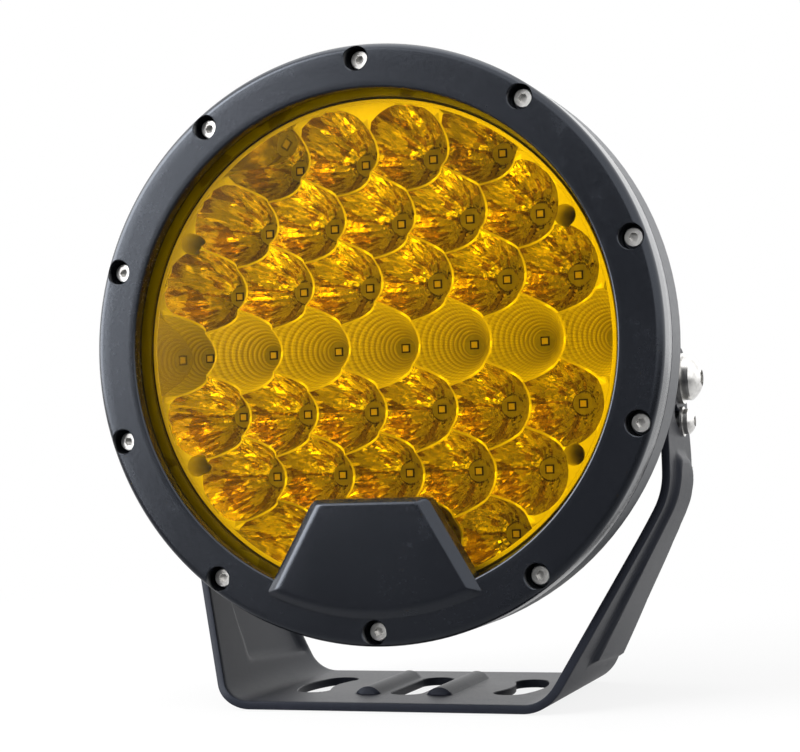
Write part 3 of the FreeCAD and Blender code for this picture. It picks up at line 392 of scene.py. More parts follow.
def circuit_board(name, mask, trace):
    """Solder mask with faint copper traces under it."""
    f = new_finish(name)
    place = f.place()
    cells = f.add("TexVoronoi", {"distance": "CHEBYCHEV"}, {"Vector": place, "Scale": 240.0})
    line = cells.step(0.42, 0.5)
    fine = f.noise(2400, 2, place)
    return f.done(f.principled({
        "Base Color": f.mix(line * 0.6, mask, trace),
        "Roughness": 0.32 + fine * 0.14,
        "Normal": f.bump(line * 0.8 + fine * 0.2, 3e-5),
    }))


def wound_copper(name):
    """Enamelled wire wound close round a ring, with shade painted dark into the creases between
    the turns.
    """
    f = new_finish(name)
    place = f.place()
    turns = f.add("TexWave", {"bands_direction": "Z"},
                  {"Vector": place, "Scale": 420.0, "Distortion": 0.6}, out=1)
    return f.done(f.principled({
        # Painted shade: the colour darkens where the bump sinks between the turns.
        "Base Color": f.mix(turns, (0.24, 0.07, 0.02), (0.62, 0.25, 0.09)),
        "Metallic": 0.85,
        "Roughness": 0.24 + turns * 0.14,
        "Normal": f.bump(turns, 2e-4),
    }))


# ------------------------------------------------------------------ mesh helpers

WELD = 1e-7


def new_piece(name, points, faces, marks=None, uv=None):
    """A piece from points in metres; marks are material indices and uv a pair for each corner."""
    mesh = bpy.data.meshes.new(name)
    mesh.from_pydata([tuple(p) for p in points], [], faces)
    if marks:
        mesh.polygons.foreach_set("material_index", marks)
    if uv:
        layer = mesh.uv_layers.new(name="cup")
        layer.data.foreach_set("uv", [part for pair in uv for part in pair])
    mesh.update()
    piece = bpy.data.objects.new(name, mesh)
    bpy.context.scene.collection.objects.link(piece)
    return piece


def carve(piece, other, operation):
    """Adds or takes away another solid, and removes that solid."""
    step = piece.modifiers.new("carve", "BOOLEAN")
    step.operation = operation
    step.solver = "EXACT"
    step.material_mode = "TRANSFER"
    step.object = other
    graph = bpy.context.evaluated_depsgraph_get()
    mesh = bpy.data.meshes.new_from_object(piece.evaluated_get(graph))
    piece.modifiers.clear()
    piece.data = mesh
    bpy.data.objects.remove(other)


def merge_close(piece, distance=WELD):
    """Welds points that lie together and turns every face outwards."""
    bm = bmesh.new()
    bm.from_mesh(piece.data)
    bmesh.ops.remove_doubles(bm, verts=bm.verts, dist=distance)
    bmesh.ops.dissolve_degenerate(bm, edges=bm.edges, dist=distance)
    bmesh.ops.recalc_face_normals(bm, faces=bm.faces)
    bm.to_mesh(piece.data)
    bm.free()


def smooth(piece, degrees):
    """Smooth shading with creases where faces meet at more than this angle."""
    mesh = piece.data
    mesh.polygons.foreach_set("use_smooth", [True] * len(mesh.polygons))
    mesh.set_sharp_from_angle(angle=math.radians(degrees))


def finish_piece(piece, materials, body, slot, *nodes):
    """Gives a piece its materials and its body, and hides the CAD nodes that it stands for; its
    slot is not used.
    """
    if not piece.data.materials:
        for material in materials:
            piece.data.materials.append(material)
    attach(piece, body)
    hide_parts(*nodes)


def coat_node(name, material):
    """A CAD node keeps its shape and takes a better material."""
    node = frame["nodes"][name]
    if not node.data.materials:
        node.data.materials.append(material)
    for i in range(len(node.data.materials)):
        node.data.materials[i] = material
    for holder in node.material_slots:
        holder.material = material


def stacked(loops, closed_ring=False):
    """Faces between loops of equally many points; the ends are capped unless it is a ring."""
    count = len(loops[0])
    faces = []
    rows = len(loops)
    for j in range(rows if closed_ring else rows - 1):
        low, high = j * count, (j + 1) % rows * count
        for i in range(count):
            k = (i + 1) % count
            faces.append((low + i, low + k, high + k, high + i))
    if not closed_ring:
        faces.append(tuple(reversed(range(count))))
        faces.append(tuple(range((rows - 1) * count, rows * count)))
    return [p for loop in loops for p in loop], faces


def lamp_bar(name, radius, levels, x, z, sides=40):
    """Round bar along the lamp's axis, from (depth, extra radius) levels."""
    loops = []
    for depth, extra in levels:
        ring = [polar(radius + extra, 360 * i / sides) for i in range(sides)]
        loops.append([lamp_point(x + u, depth, z + v) for u, v in ring])
    piece = new_piece(name, *stacked(loops))
    merge_close(piece)
    return piece


def join(name, pieces):
    """Several separate solids as one piece."""
    points, faces = [], []
    for piece in pieces:
        first = len(points)
        points += [v.co.copy() for v in piece.data.vertices]
        faces += [tuple(first + i for i in face.vertices) for face in piece.data.polygons]
        bpy.data.objects.remove(piece)
    return new_piece(name, points, faces)


# ------------------------------------------------------------------ bracket

FOOT_CORNER = 64.1
ARM_CORNER = 101.9
ARM_BEND = 76.5
FOOT_BEND_RADIUS = 16.0
ARM_BEND_RADIUS = 34.0
BEAD_HEIGHT = 2.2
RIB_PLACE = 14.5
RIB_OUTER = 6.0
RIB_HOLLOW = 4.4
RIB_ENDS = (-24.5, 26.0)
FOOT_DEPTH = 92.7
MIDDLE_SLOT_HALF = 25.0
FOOT_SLOT_HALF_WIDTH = 6.5
FOOT_SLOT_CIRCLE = 43.2
FOOT_SLOT_SPREAD = 21
LOCK_DROP = 16.9
LOCK_HALF_WIDTH = 3.3
LOCK_SPAN = (-128, -75)
PIVOT_HOLE_RADIUS = 5.06

# Corners of the strap's two edges and of the arms' beads, as (y, height, radius).
FRONT_EDGE = ((-48, -1, 0), (-48, 4.2, 14), (2.9, 76.5, 60), (0.4, 92, 40),
              (0.4, 114.75, 20), (14.5, 133.5, 11.2), (27, 133.5, 0))
BACK_EDGE = ((44.7, -1, 0), (44.7, 92, 30), (39.5, 108.5, 30), (39.5, 133.5, 11.2),
             (27, 133.5, 0))
BEAD_EDGE = ((-15.0, 13.0, 0), (-0.5, 58.0, 40), (6.8, 80.0, 30), (11.8, 93.0, 7),
             (38.1, 91.0, 12), (42.1, 58.0, 60), (42.1, 9.5, 0))

# Rows across the strap, as shares of its width, with closer rows at the ribs' ends.
ROWS = 44
END_ROWS = (-0.0075, -0.0015, 0.0015, 0.0075)
ROW_SHARES = sorted(
    [i / ROWS for i in range(ROWS + 1)]
    + [(place - STRAP_LOW.y / MM) / FOOT_DEPTH + extra
       for place in RIB_ENDS for extra in END_ROWS])


def rounded_line(corners, steps=10):
    """Points along a line through (y, z, radius) corners, each rounded to its radius."""
    points = [Vector(corners[0][:2])]
    for before, corner, after in zip(corners, corners[1:], corners[2:]):
        here = Vector(corner[:2])
        back = (Vector(before[:2]) - here).normalized()
        ahead = (Vector(after[:2]) - here).normalized()
        half = back.angle(ahead) / 2
        reach = corner[2] / math.tan(half)
        start, end = here + back * reach, here + ahead * reach
        for i in range(steps + 1):
            t = i / steps
            points.append(start * (1 - t) ** 2 + end * t ** 2 + here * (2 * t * (1 - t)))
    points.append(Vector(corners[-1][:2]))
    return points


def across(line, height):
    """The line's y at a height; the line rises all the way."""
    for low, high in zip(line, line[1:]):
        if low.y <= height <= high.y:
            share = (height - low.y) / max(high.y - low.y, 1e-9)
            return low.x + (high.x - low.x) * share
    return line[-1].x if height > line[-1].y else line[0].x


def strap_stations():
    """(x, z, outward x, outward z) along the right half of the strap, from the middle."""
    turn = math.atan2(ARM_BEND, ARM_CORNER - FOOT_CORNER)
    foot_reach = FOOT_BEND_RADIUS * math.tan(turn / 2)
    arm_reach = ARM_BEND_RADIUS * math.tan((math.pi / 2 - turn) / 2)
    stations = []
    x = 0.0
    while x < FOOT_CORNER - foot_reach:
        stations.append((x, 0.0, 0.0, -1.0))
        x += 0.6 if abs(x - RIB_PLACE) < 7.5 else 2.4
    for i in range(15):
        a = turn * i / 14
        stations.append((FOOT_CORNER - foot_reach + FOOT_BEND_RADIUS * math.sin(a),
                         FOOT_BEND_RADIUS * (1 - math.cos(a)), math.sin(a), -math.cos(a)))
    length = math.hypot(ARM_CORNER - FOOT_CORNER, ARM_BEND)
    count = 44
    for i in range(1, count):
        s = foot_reach + (length - foot_reach - arm_reach) * i / count
        stations.append((FOOT_CORNER + s * math.cos(turn), s * math.sin(turn),
                         math.sin(turn), -math.cos(turn)))
    centre_x, centre_z = ARM_CORNER - ARM_BEND_RADIUS, ARM_BEND + arm_reach
    for i in range(11):
        a = turn + (math.pi / 2 - turn) * i / 10
        stations.append((centre_x + ARM_BEND_RADIUS * math.sin(a),
                         centre_z - ARM_BEND_RADIUS * math.cos(a), math.sin(a), -math.cos(a)))
    z = centre_z
    top = STRAP_HIGH.z / MM
    shoulder = PIVOT.z - 4
    while z + 1.5 < shoulder:
        z += 1.5
        stations.append((ARM_CORNER, z, 1.0, 0.0))
    for i in range(1, 21):
        rise = (top - z) * math.sin(math.pi / 2 * i / 20)
        stations.append((ARM_CORNER, z + rise, 1.0, 0.0))
    return stations


def inside_distance(outline, y, z):
    """Distance from a point to the outline, positive inside it."""
    here = Vector((y, z))
    best = 1e9
    inside = False
    for a, b in zip(outline, outline[1:] + outline[:1]):
        along = b - a
        share = max(0.0, min(1.0, (here - a).dot(along) / max(along.length_squared, 1e-9)))
        best = min(best, (a + along * share - here).length)
        if (a.y > z) != (b.y > z) and y < a.x + (z - a.y) * along.x / along.y:
            inside = not inside
    return best if inside else -best


def soft_step(value):
    value = max(0.0, min(1.0, value))
    return value * value * (3 - 2 * value)


def rib_rise(x, y, radius):
    """Height of a pressed rib's surface over the foot's underside, or 0 beside it."""
    side = abs(abs(x) - RIB_PLACE)
    if side >= radius:
        return 0.0
    end = min(y - RIB_ENDS[0], RIB_ENDS[1] - y)
    return math.sqrt(radius * radius - side * side) * soft_step(end / 1.1 + 0.3)


def arc_slot(radius, half_width, start, end, grow=0.0):
    """Outline of a slot bent along an arc about the origin, with round ends."""
    reach = half_width + grow
    points = []
    for side, turn, first, last in ((1, 0, start, end), (-1, 180, end, start)):
        points += [polar(radius + side * reach, first + (last - first) * i / 14)
                   for i in range(15)]
        x, y = polar(radius, last)
        for i in range(1, 12):
            u, v = polar(reach, last + turn + 180 * i / 12)
            points.append((x + u, y + v))
    return points


def straight_slot(half_length, half_width, grow):
    """Outline of a slot along y, with round ends."""
    reach = half_width + grow
    points = []
    for side, turn in ((1, 0), (-1, 180)):
        for i in range(25):
            u, v = polar(reach, turn + 180 * i / 24)
            points.append((u, v + side * half_length - side * half_width))
    return points


def make_bracket(settings):
    """Strap bent to a foot and two arms, with pressed beads, ribs and cut slots."""
    thick = settings.strap / MM
    edge = settings.edge / MM
    draft = settings.bead_draft / MM
    front_line = rounded_line(FRONT_EDGE)
    back_line = rounded_line(BACK_EDGE)
    bead = rounded_line(BEAD_EDGE, 6)
    half = strap_stations()
    stations = [(-x, z, -nx, nz) for x, z, nx, nz in reversed(half[1:])] + half
    corner = edge * 0.3
    loops = []
    for x, z, nx, nz in stations:
        y0, y1 = across(front_line, z), across(back_line, z)
        rim = min(edge, (y1 - y0) * 0.2)
        rows = [y0 + rim + (y1 - y0 - 2 * rim) * share for share in ROW_SHARES]
        profile = [(y, 0.0) for y in rows]
        profile += [(y1 - corner, corner), (y1, edge),
                    (y1, thick - edge), (y1 - corner, thick - corner)]
        profile += [(y, thick) for y in reversed(rows)]
        profile += [(y0 + corner, thick - corner), (y0, thick - edge),
                    (y0, edge), (y0 + corner, corner)]
        loop = []
        for y, inward in profile:
            push = 0.0
            if nx and z > 5:
                push = BEAD_HEIGHT * soft_step(inside_distance(bead, y, z) / draft)
            if not nx:
                wanted = rib_rise(x, y, RIB_OUTER if inward > thick / 2 else RIB_HOLLOW)
                push = -max(0.0, wanted - inward)
            shift = push - inward
            loop.append(Vector((x + nx * shift, y, z + nz * shift)) * MM)
        loops.append(loop)
    piece = new_piece("pressed_bracket", *stacked(loops))
    merge_close(piece)
    cutters = []
    for number, outline in enumerate((
            lambda grow: straight_slot(MIDDLE_SLOT_HALF, FOOT_SLOT_HALF_WIDTH, grow),
            lambda grow: arc_slot(FOOT_SLOT_CIRCLE, FOOT_SLOT_HALF_WIDTH,
                                  -FOOT_SLOT_SPREAD, FOOT_SLOT_SPREAD, grow),
            lambda grow: arc_slot(FOOT_SLOT_CIRCLE, FOOT_SLOT_HALF_WIDTH,
                                  180 - FOOT_SLOT_SPREAD, 180 + FOOT_SLOT_SPREAD, grow))):
        loops = []
        for level, grow in ((-1.0, 1.3), (0.3, 0.0), (thick - 0.3, 0.0), (thick + 1.0, 1.3)):
            loops.append([Vector((u, v, level)) * MM for u, v in outline(grow)])
        cutters.append(new_piece(f"slot_{number}", *stacked(loops)))
    arm_rings = (("lock_slot", arc_slot(LOCK_DROP, LOCK_HALF_WIDTH, *LOCK_SPAN)),
                 ("pivot_hole", [polar(PIVOT_HOLE_RADIUS, 12 * i) for i in range(30)]))
    for side in SIDES:
        for name, ring in arm_rings:
            loops = [[Vector((side * x, PIVOT.y + u, PIVOT.z + v)) * MM for u, v in ring]
                     for x in (ARM_CORNER - 8, ARM_CORNER + 3)]
            cutters.append(new_piece(name, *stacked(loops)))
    for cutter in cutters:
        merge_close(cutter)
        carve(piece, cutter, "DIFFERENCE")
    smooth(piece, 38)
    coat = powder_coat("slate powder coat", settings.colour, settings.roughness, 1.0, 1.2)
    piece.data.materials.clear()
    finish_piece(piece, [coat], "bracket", "bracket_coat", "mounting_bracket")


# ------------------------------------------------------------------ bezel

APERTURE = 95.5
POCKET_DEPTH = 9.0
POCKET_RADIUS = 4.7
SCREW_PLACES = [polar(107.0, 90 + 36 * i) for i in range(10)]
SCREW_HOLE_RADIUS = 2.25
LENS_POCKET = 100.0
RIM_ROUNDING = 3.0
LIP_ROUNDING = 0.9
BLOCK_LEAN = 19.2 / 33.5
BLOCK_BOTTOM = 102.0
BLOCK_TOP = -57.4
BLOCK_TOP_HALF = 22.6

# How far the block's sides, top and bottom lean in over its rise, and its (share, rise) levels.
BLOCK_SLOPE = (3.8, 1.9, 4.0)
BLOCK_RISE = ((0.06, 0.22), (0.35, 1.05), (0.62, 1.9), (0.74, 2.22), (0.88, 2.5),
              (1.05, CREST - 0.06), (1.3, CREST))


def block_outline(side_inset, top_inset, bottom_inset, rounding):
    """Outline of the raised block: a trapezium with rounded corners and an arc at the bottom."""
    lean = BLOCK_LEAN
    shift = side_inset * math.hypot(1, lean)
    radius = BLOCK_BOTTOM - bottom_inset
    top = BLOCK_TOP - top_inset
    top_half = BLOCK_TOP_HALF - shift + top_inset * lean
    a = 1 + lean * lean
    b = 2 * (top_half * lean - top)
    c = top_half * top_half + top * top - radius * radius
    fall = (-b + math.sqrt(b * b - 4 * a * c)) / (2 * a)
    corner = Vector((top_half + lean * fall, top - fall))
    shoulder = Vector((top_half, top))
    side = (corner - shoulder).normalized()
    points = []

    def bend(start, middle, end):
        for i in range(8):
            t = i / 7
            points.append(start * (1 - t) ** 2 + middle * (2 * t * (1 - t)) + end * t * t)

    bend(shoulder - Vector((rounding, 0)), shoulder, shoulder + side * rounding)
    start = math.degrees(math.atan2(corner.y, corner.x))
    gap = math.degrees(rounding / radius)
    first = Vector(polar(radius, start - gap))
    bend(corner - side * rounding, corner, first)
    for i in range(1, 15):
        points.append(Vector(polar(radius, start - gap + (-90 - start + gap) * i / 15)))
    return points + [Vector((0, -radius))] + [Vector((-p.x, p.y)) for p in reversed(points)]


def make_bezel(settings):
    """Cast ring with ten screw pockets and the plain raised block."""
    rim, lip = RIM_ROUNDING, LIP_ROUNDING
    profile = []
    for i in range(13):
        a = math.radians(7.5 * i)
        profile.append((HEAD_RADIUS - rim + rim * math.sin(a), rim - rim * math.cos(a)))
    profile += [(HEAD_RADIUS, 9.0), (HEAD_RADIUS, BEZEL_DEPTH - 0.5),
                (HEAD_RADIUS - 0.15, BEZEL_DEPTH - 0.15), (HEAD_RADIUS - 0.5, BEZEL_DEPTH),
                (LENS_POCKET, BEZEL_DEPTH), (LENS_POCKET, LENS_SETBACK),
                (APERTURE + 0.9, LENS_SETBACK), (APERTURE + 0.9, 5.0),
                (APERTURE + 0.75, 4.7), (APERTURE, 4.4)]
    for i in range(7):
        a = math.radians(15 * i)
        profile.append((APERTURE + lip - lip * math.cos(a), lip - lip * math.sin(a)))
    profile += [(98.5, 0.0), (102.0, 0.0), (106.0, 0.0)]
    count = settings.segments
    loops = []
    for radius, depth in profile:
        ring = [polar(radius, 90 + 360 * (i + 0.5) / count) for i in range(count)]
        loops.append([lamp_point(x, depth, z) for x, z in ring])
    piece = new_piece("cast_bezel", *stacked(loops, closed_ring=True))
    merge_close(piece)
    levels = [(0, LENS_SETBACK - 0.3), (0, 0.06)] + [(share, -rise) for share, rise in BLOCK_RISE]
    loops = []
    for share, depth in levels:
        insets = [slope * share for slope in BLOCK_SLOPE]
        outline = block_outline(*insets, max(0.8, 2.4 - share))
        loops.append([lamp_point(p.x, depth, p.y) for p in outline])
    block = new_piece("block", *stacked(loops))
    merge_close(block)
    carve(piece, block, "UNION")
    pocket_levels = ((-1.0, 1.35), (0.35, 0.0), (POCKET_DEPTH - 0.3, 0.0), (POCKET_DEPTH, -0.3))
    pockets = [lamp_bar("pocket", POCKET_RADIUS, pocket_levels, x, z) for x, z in SCREW_PLACES]
    carve(piece, join("pockets", pockets), "DIFFERENCE")
    hole_levels = ((POCKET_DEPTH - 1, 0), (BEZEL_DEPTH + 1, 0))
    holes = [lamp_bar("hole", SCREW_HOLE_RADIUS, hole_levels, x, z, 24) for x, z in SCREW_PLACES]
    carve(piece, join("holes", holes), "DIFFERENCE")
    smooth(piece, 24)
    coat = powder_coat("black powder coat", settings.coat, settings.coat_roughness, 0.45)
    piece.data.materials.clear()
    finish_piece(piece, [coat], "lamp_head", "bezel_coat", "front_bezel")


# ------------------------------------------------------------------ reflector

CUP_PITCH = 28.4
FOCUS = 1.8
EYE = 4.0
RIM_INNER = 91.4
RIM_OUTER = 93.0
RIDGE = 0.45
SECTORS = 36
NUDGES = 40
MIDDLE_ROW = 3
RINGED_STEPS = 24
CUP_RINGS = 11
CUP_BEADS = 84
CUP_SPOKES = 56
# Material slots of the reflector; the third is the painted highlight on its ridges and rim.
FACETS, RINGS, RIDGE_HIGHLIGHT, EYE_WALL, RIM_WALL = range(5)
WELL_RADIUS = 4.15
WELL_PLACES = [polar(87.0, angle) for angle in (30, 150, 210, 330)]


def cup_centres():
    """(x, z, row) of the cups, in rows of 4, 5, 6, 7, 6, 5 and 4."""
    rise = CUP_PITCH * math.sqrt(3) / 2
    places = []
    for row in range(2 * MIDDLE_ROW + 1):
        count = 7 - abs(row - MIDDLE_ROW)
        for i in range(count):
            places.append((CUP_PITCH * (i - (count - 1) / 2), rise * (MIDDLE_ROW - row), row))
    return places


def cup_edge(centre, others, degrees):
    """Distance from a cup's centre to the edge of its cell, and whether that is the rim."""
    a = math.radians(degrees)
    u, v = math.cos(a), math.sin(a)
    x, z = centre
    along = x * u + z * v
    rim = -along + math.sqrt(along * along - x * x - z * z + RIM_INNER * RIM_INNER)
    best = rim
    for ox, oz in others:
        dx, dz = ox - x, oz - z
        facing = dx * u + dz * v
        if facing > 1e-6:
            best = min(best, (dx * dx + dz * dz) / (2 * facing))
    return best, best == rim


def cell_angles(centre, others):
    """Angles at which a cup's cell is cut, with its corners at the rim among them."""
    angles = [360 * i / SECTORS for i in range(SECTORS)]
    count = 1440
    tests = [cup_edge(centre, others, 360 * i / count)[1] for i in range(count)]
    for i in range(count):
        if tests[i] != tests[i - 1]:
            low, high = 360 * (i - 1) / count, 360 * i / count
            for _ in range(40):
                middle = (low + high) / 2
                if cup_edge(centre, others, middle)[1] == tests[i - 1]:
                    low = middle
                else:
                    high = middle
            angles.append(low % 360)
    return sorted(angles)


def make_reflector(settings):
    """37 deep cups in one metallised moulding, with rim, ridges and four screw wells."""
    depth = (CUPS_HIGH.y - CUPS_LOW.y) / MM
    front = CUPS_LOW.y / MM - FACE_Y
    mouth = math.sqrt(4 * FOCUS * (depth + FOCUS))
    centres = cup_centres()
    wander = settings.facet / MM
    points, faces, marks, uv = [], [], [], []

    def point(x, z, height):
        points.append(lamp_point(x, front + depth - height, z))
        return len(points) - 1

    def face(corners, mark, pairs=None):
        faces.append(corners)
        marks.append(mark)
        uv.extend(pairs or [(0.0, 0.0)] * len(corners))

    draw = random.Random(7)
    flute = [draw.uniform(-1, 1) for _ in range(SECTORS)]
    nudge = [[draw.uniform(-1, 1) for _ in range(NUDGES)] for _ in range(SECTORS)]
    rim_points = []
    for x, z, row in centres:
        others = [(a, b) for a, b, _ in centres
                  if 0 < math.hypot(a - x, b - z) < 2.2 * CUP_PITCH]
        angles = cell_angles((x, z), others)
        ringed = row == MIDDLE_ROW
        steps = RINGED_STEPS if ringed else settings.rings
        columns, spreads = [], []
        for degrees in angles:
            edge, at_rim = cup_edge((x, z), others, degrees)
            lip = min(edge - (0.0 if at_rim and edge < mouth else RIDGE), mouth)
            u, v = polar(1, degrees)
            column = [point(x + EYE * u, z + EYE * v, 0.0)]
            spread = [-0.08]
            sector = int(degrees / (360 / SECTORS)) % SECTORS
            for j in range(steps + 1):
                radius = EYE + (lip - EYE) * j / steps
                height = radius * radius / (4 * FOCUS) - FOCUS
                if not ringed and 0 < j < steps:
                    swing = flute[sector] * 0.7 + nudge[sector][j // 2] * 0.7
                    radius += wander * swing * min(1.0, j / 2)
                column.append(point(x + radius * u, z + radius * v, height))
                spread.append((radius - EYE) / (mouth - EYE))
            last = min(height + 0.12, depth)
            corner_x, corner_z = x + edge * u, z + edge * v
            top = point(corner_x, corner_z, last)
            bottom = point(corner_x, corner_z, 0.0)
            column += [top, bottom]
            columns.append(column)
            spreads.append(spread + [1.0, 1.0])
            if at_rim or abs(math.hypot(corner_x, corner_z) - RIM_INNER) < 1e-4:
                rim_points.append((math.atan2(corner_z, corner_x), corner_x, corner_z, last))
        count = len(angles)
        for i in range(count):
            k = (i + 1) % count
            here, there = columns[i], columns[k]
            u0, u1 = angles[i] / 360, (angles[k] or 360.0) / 360
            for j in range(len(here) - 2):
                if j == 0:
                    mark = EYE_WALL
                elif j > steps:
                    mark = RIDGE_HIGHLIGHT
                else:
                    mark = RINGS if ringed else FACETS
                face((here[j], there[j], there[j + 1], here[j + 1]), mark,
                     [(u0, spreads[i][j]), (u1, spreads[k][j]),
                      (u1, spreads[k][j + 1]), (u0, spreads[i][j + 1])])
            face((here[0], here[-1], there[-1], there[0]), EYE_WALL)
    rim_points.sort()
    unique = []
    for entry in rim_points:
        if not unique or math.hypot(entry[1] - unique[-1][1], entry[2] - unique[-1][2]) > 1e-3:
            unique.append(entry)
    count = len(unique)
    columns = []
    scale = RIM_OUTER / RIM_INNER
    for _, x, z, height in unique:
        columns.append([point(x, z, height), point(x, z, depth - 0.2),
                        point(x * 1.0022, z * 1.0022, depth),
                        point(x * (scale - 0.002), z * (scale - 0.002), depth),
                        point(x * scale, z * scale, depth - 0.2),
                        point(x * scale, z * scale, 0.0), point(x, z, 0.0)])
    for i in range(count):
        here, there = columns[i], columns[(i + 1) % count]
        for j in range(len(here) - 1):
            face((here[j], there[j], there[j + 1], here[j + 1]), RIDGE_HIGHLIGHT if j else RIM_WALL)
    piece = new_piece("cup_reflector", points, faces, marks, uv)
    # The ridges and rim take a painted highlight; the cups take painted dark reflections and
    # painted groove shade.
    materials = [bright_cup("metallised facets", settings, 1.0),
                 ringed_cup("metallised rings", settings),
                 painted_ridge_highlight("ridge painted highlight"),
                 moulded("eye walls", (0.55, 0.5, 0.42), 0.5),
                 bright_cup("metallised rim wall", settings, 0.3),
                 moulded("well walls", (0.8, 0.76, 0.7), 0.55)]
    for material in materials:
        piece.data.materials.append(material)
    merge_close(piece, 2e-6)
    well_levels = ((front - 1, 0), (front + 30, 0))
    cutter = join("wells", [lamp_bar("well", WELL_RADIUS, well_levels, x, z, 36)
                            for x, z in WELL_PLACES])
    cutter.data.materials.append(materials[-1])
    carve(piece, cutter, "DIFFERENCE")
    mesh = piece.data
    names = [material.name for material in mesh.materials]
    ring_index = names.index(materials[RINGS].name)
    for polygon in mesh.polygons:
        polygon.use_smooth = polygon.material_index == ring_index
    finish_piece(piece, materials, "lamp_head", "metallised_plastic", "reflector")


# ------------------------------------------------------------------ the CAD nodes' finishes


def coat_glass(settings):
    coat_node("amber_lens", amber_glass("amber glass", settings.tint))
    coat_node("lens_gasket", moulded("grey silicone", (0.2, 0.19, 0.17), 0.6))


def coat_fasteners(settings):
    steel = stainless("turned stainless", settings.steel)
    for name in ("pivot_bolts", "pivot_flat_washers", "lock_bolts", "lock_flat_washers",
                 "bezel_screws", "reflector_screws", "driver_board_screws", "rear_cover_screws"):
        coat_node(name, steel)
    sprung = stainless("spring steel", shade(settings.steel, 0.8))
    for name in ("pivot_spring_washers", "lock_spring_washers"):
        coat_node(name, sprung)


def coat_emitters():
    coat_node("led_emitters", emitter("phosphor and frame"))
    # The LED board is painted mid grey rather than its white mask: painted shade seen in the cups'
    # eyes.
    coat_node("led_board", circuit_board("board mask with painted shade", (0.5, 0.48, 0.44), (0.62, 0.6, 0.55)))
    coat_node("thermal_pad", moulded("thermal pad", (0.35, 0.37, 0.4), 0.8, 900))


def coat_housing(settings):
    coat_node("rear_housing", cast_coat("cast housing coat", shade(settings.coat, 2.2), 0.44))
    coat_node("rear_cover", powder_coat("cover coat", shade(settings.coat, 1.8), 0.4))
    coat_node("rear_cover_gasket", moulded("gasket rubber", (0.03, 0.03, 0.03), 0.8))
    nylon = moulded("black nylon", (0.018, 0.018, 0.02), 0.45, 800)
    for name in ("breather_vent", "gland_body", "gland_lock_nut", "gland_nut"):
        coat_node(name, nylon)
    rubber = moulded("black rubber", (0.02, 0.02, 0.02), 0.75)
    for name in ("gland_washer", "gland_seal", "lead_grommet"):
        coat_node(name, rubber)


def coat_driver():
    coat_node("driver_board", circuit_board("green mask", (0.02, 0.13, 0.05), (0.05, 0.24, 0.09)))
    coat_node("driver_coils", wound_copper("enamelled windings"))
    coat_node("driver_capacitors", stainless("capacitor cans", (0.55, 0.56, 0.58)))
    coat_node("driver_switches", moulded("chip plastic", (0.02, 0.02, 0.02), 0.5, 1500))
    coat_node("driver_terminal", moulded("green terminal", (0.03, 0.26, 0.07), 0.45, 900))
    coat_node("led_leads", moulded("red sheath", (0.42, 0.03, 0.02), 0.45, 900))


# ------------------------------------------------------------------ stage


# Where the camera stands and looks, and the way ahead of the bezel's face.
CAMERA_PLACE = Vector((239.43, -687.94, 99.12)) * MM
CAMERA_AIM = Vector((13.6, FACE_Y, 124.1)) * MM
AHEAD = (-0.25, -0.968, 0.03)

# The world's strength in reflections, how much less it is ahead, and for soft light.
REFLECTED = 1.7
AHEAD_DROP = 1.65
SOFT = 0.55


def ray_kinds(f):
    """1 for what the camera sees, and 1 for what reflections and clear parts show."""
    camera = f.add("LightPath", out="Is Camera Ray")
    glossy = f.add("LightPath", out="Is Glossy Ray")
    through = f.add("LightPath", out="Is Transmission Ray")
    return camera, glossy.larger(through)


def white_to_camera(f, surface, share):
    """White to the camera with a little of the surface; reflections find it dim in front."""
    camera, mirrored = ray_kinds(f)
    behind = f.add("SeparateXYZ", {}, {0: f.place()}, out=1).step(-0.25, 0.2)
    tone = f.mix(camera.larger(behind), (0.12, 0.12, 0.12), (1, 1, 1))
    white = f.add("Emission", {}, {"Color": tone, "Strength": 1.0})
    factor = camera.larger(mirrored) * (1 - camera).larger(share)
    return f.add("MixShader", {}, {0: factor, 1: surface, 2: white})


def make_floor():
    """Wide pale floor that keeps a faint shadow near the lamp and is plain white far off."""
    size = 30.0
    piece = new_piece("floor", [(-size, -size, 0), (size, -size, 0), (size, size, 0),
                                (-size, size, 0)], [(0, 1, 2, 3)])
    piece.location.z = -0.0004
    f = new_finish("pale paper floor")
    cloud = f.noise(3, 2)
    paper = f.principled({"Base Color": f.mix(cloud, (0.93, 0.93, 0.93), (0.9, 0.9, 0.9)),
                          "Roughness": 0.9, "Specular IOR Level": 0.0})
    near = f.add("VectorMath", {"operation": "LENGTH"}, {0: f.place()}, out=1)
    share = 0.86 + near.step(0.25, 0.7) * 0.14
    piece.data.materials.append(f.done(white_to_camera(f, paper, share)))


def make_world():
    """White to the camera; in reflections brighter than that, but dim ahead of the bezel."""
    world = bpy.data.worlds.new("studio")
    bpy.context.scene.world = world
    f = Finish(world)
    direction = f.add("TexCoord", out="Generated")
    ahead = f.add("VectorMath", {"operation": "DOT_PRODUCT"},
                  {0: direction, 1: AHEAD}, out=1).step(0.925, 0.985)
    camera, mirrored = ray_kinds(f)
    reflected = REFLECTED - ahead * AHEAD_DROP
    strength = camera + (1 - camera) * (mirrored * reflected + (1 - mirrored) * SOFT)
    sky = f.add("Background", {}, {"Color": (1, 1, 1, 1), "Strength": strength})
    f.add("OutputWorld", {}, {"Surface": sky})


def soft_box(name, place, aim, width, height, power):
    """Rectangular lamp at a place, turned towards a point."""
    data = bpy.data.lights.new(name, "AREA")
    data.shape = "RECTANGLE"
    data.size = width
    data.size_y = height
    data.energy = power
    lamp = bpy.data.objects.new(name, data)
    lamp.location = place
    lamp.rotation_euler = (Vector(aim) - Vector(place)).to_track_quat("-Z", "Y").to_euler()
    bpy.context.scene.collection.objects.link(lamp)


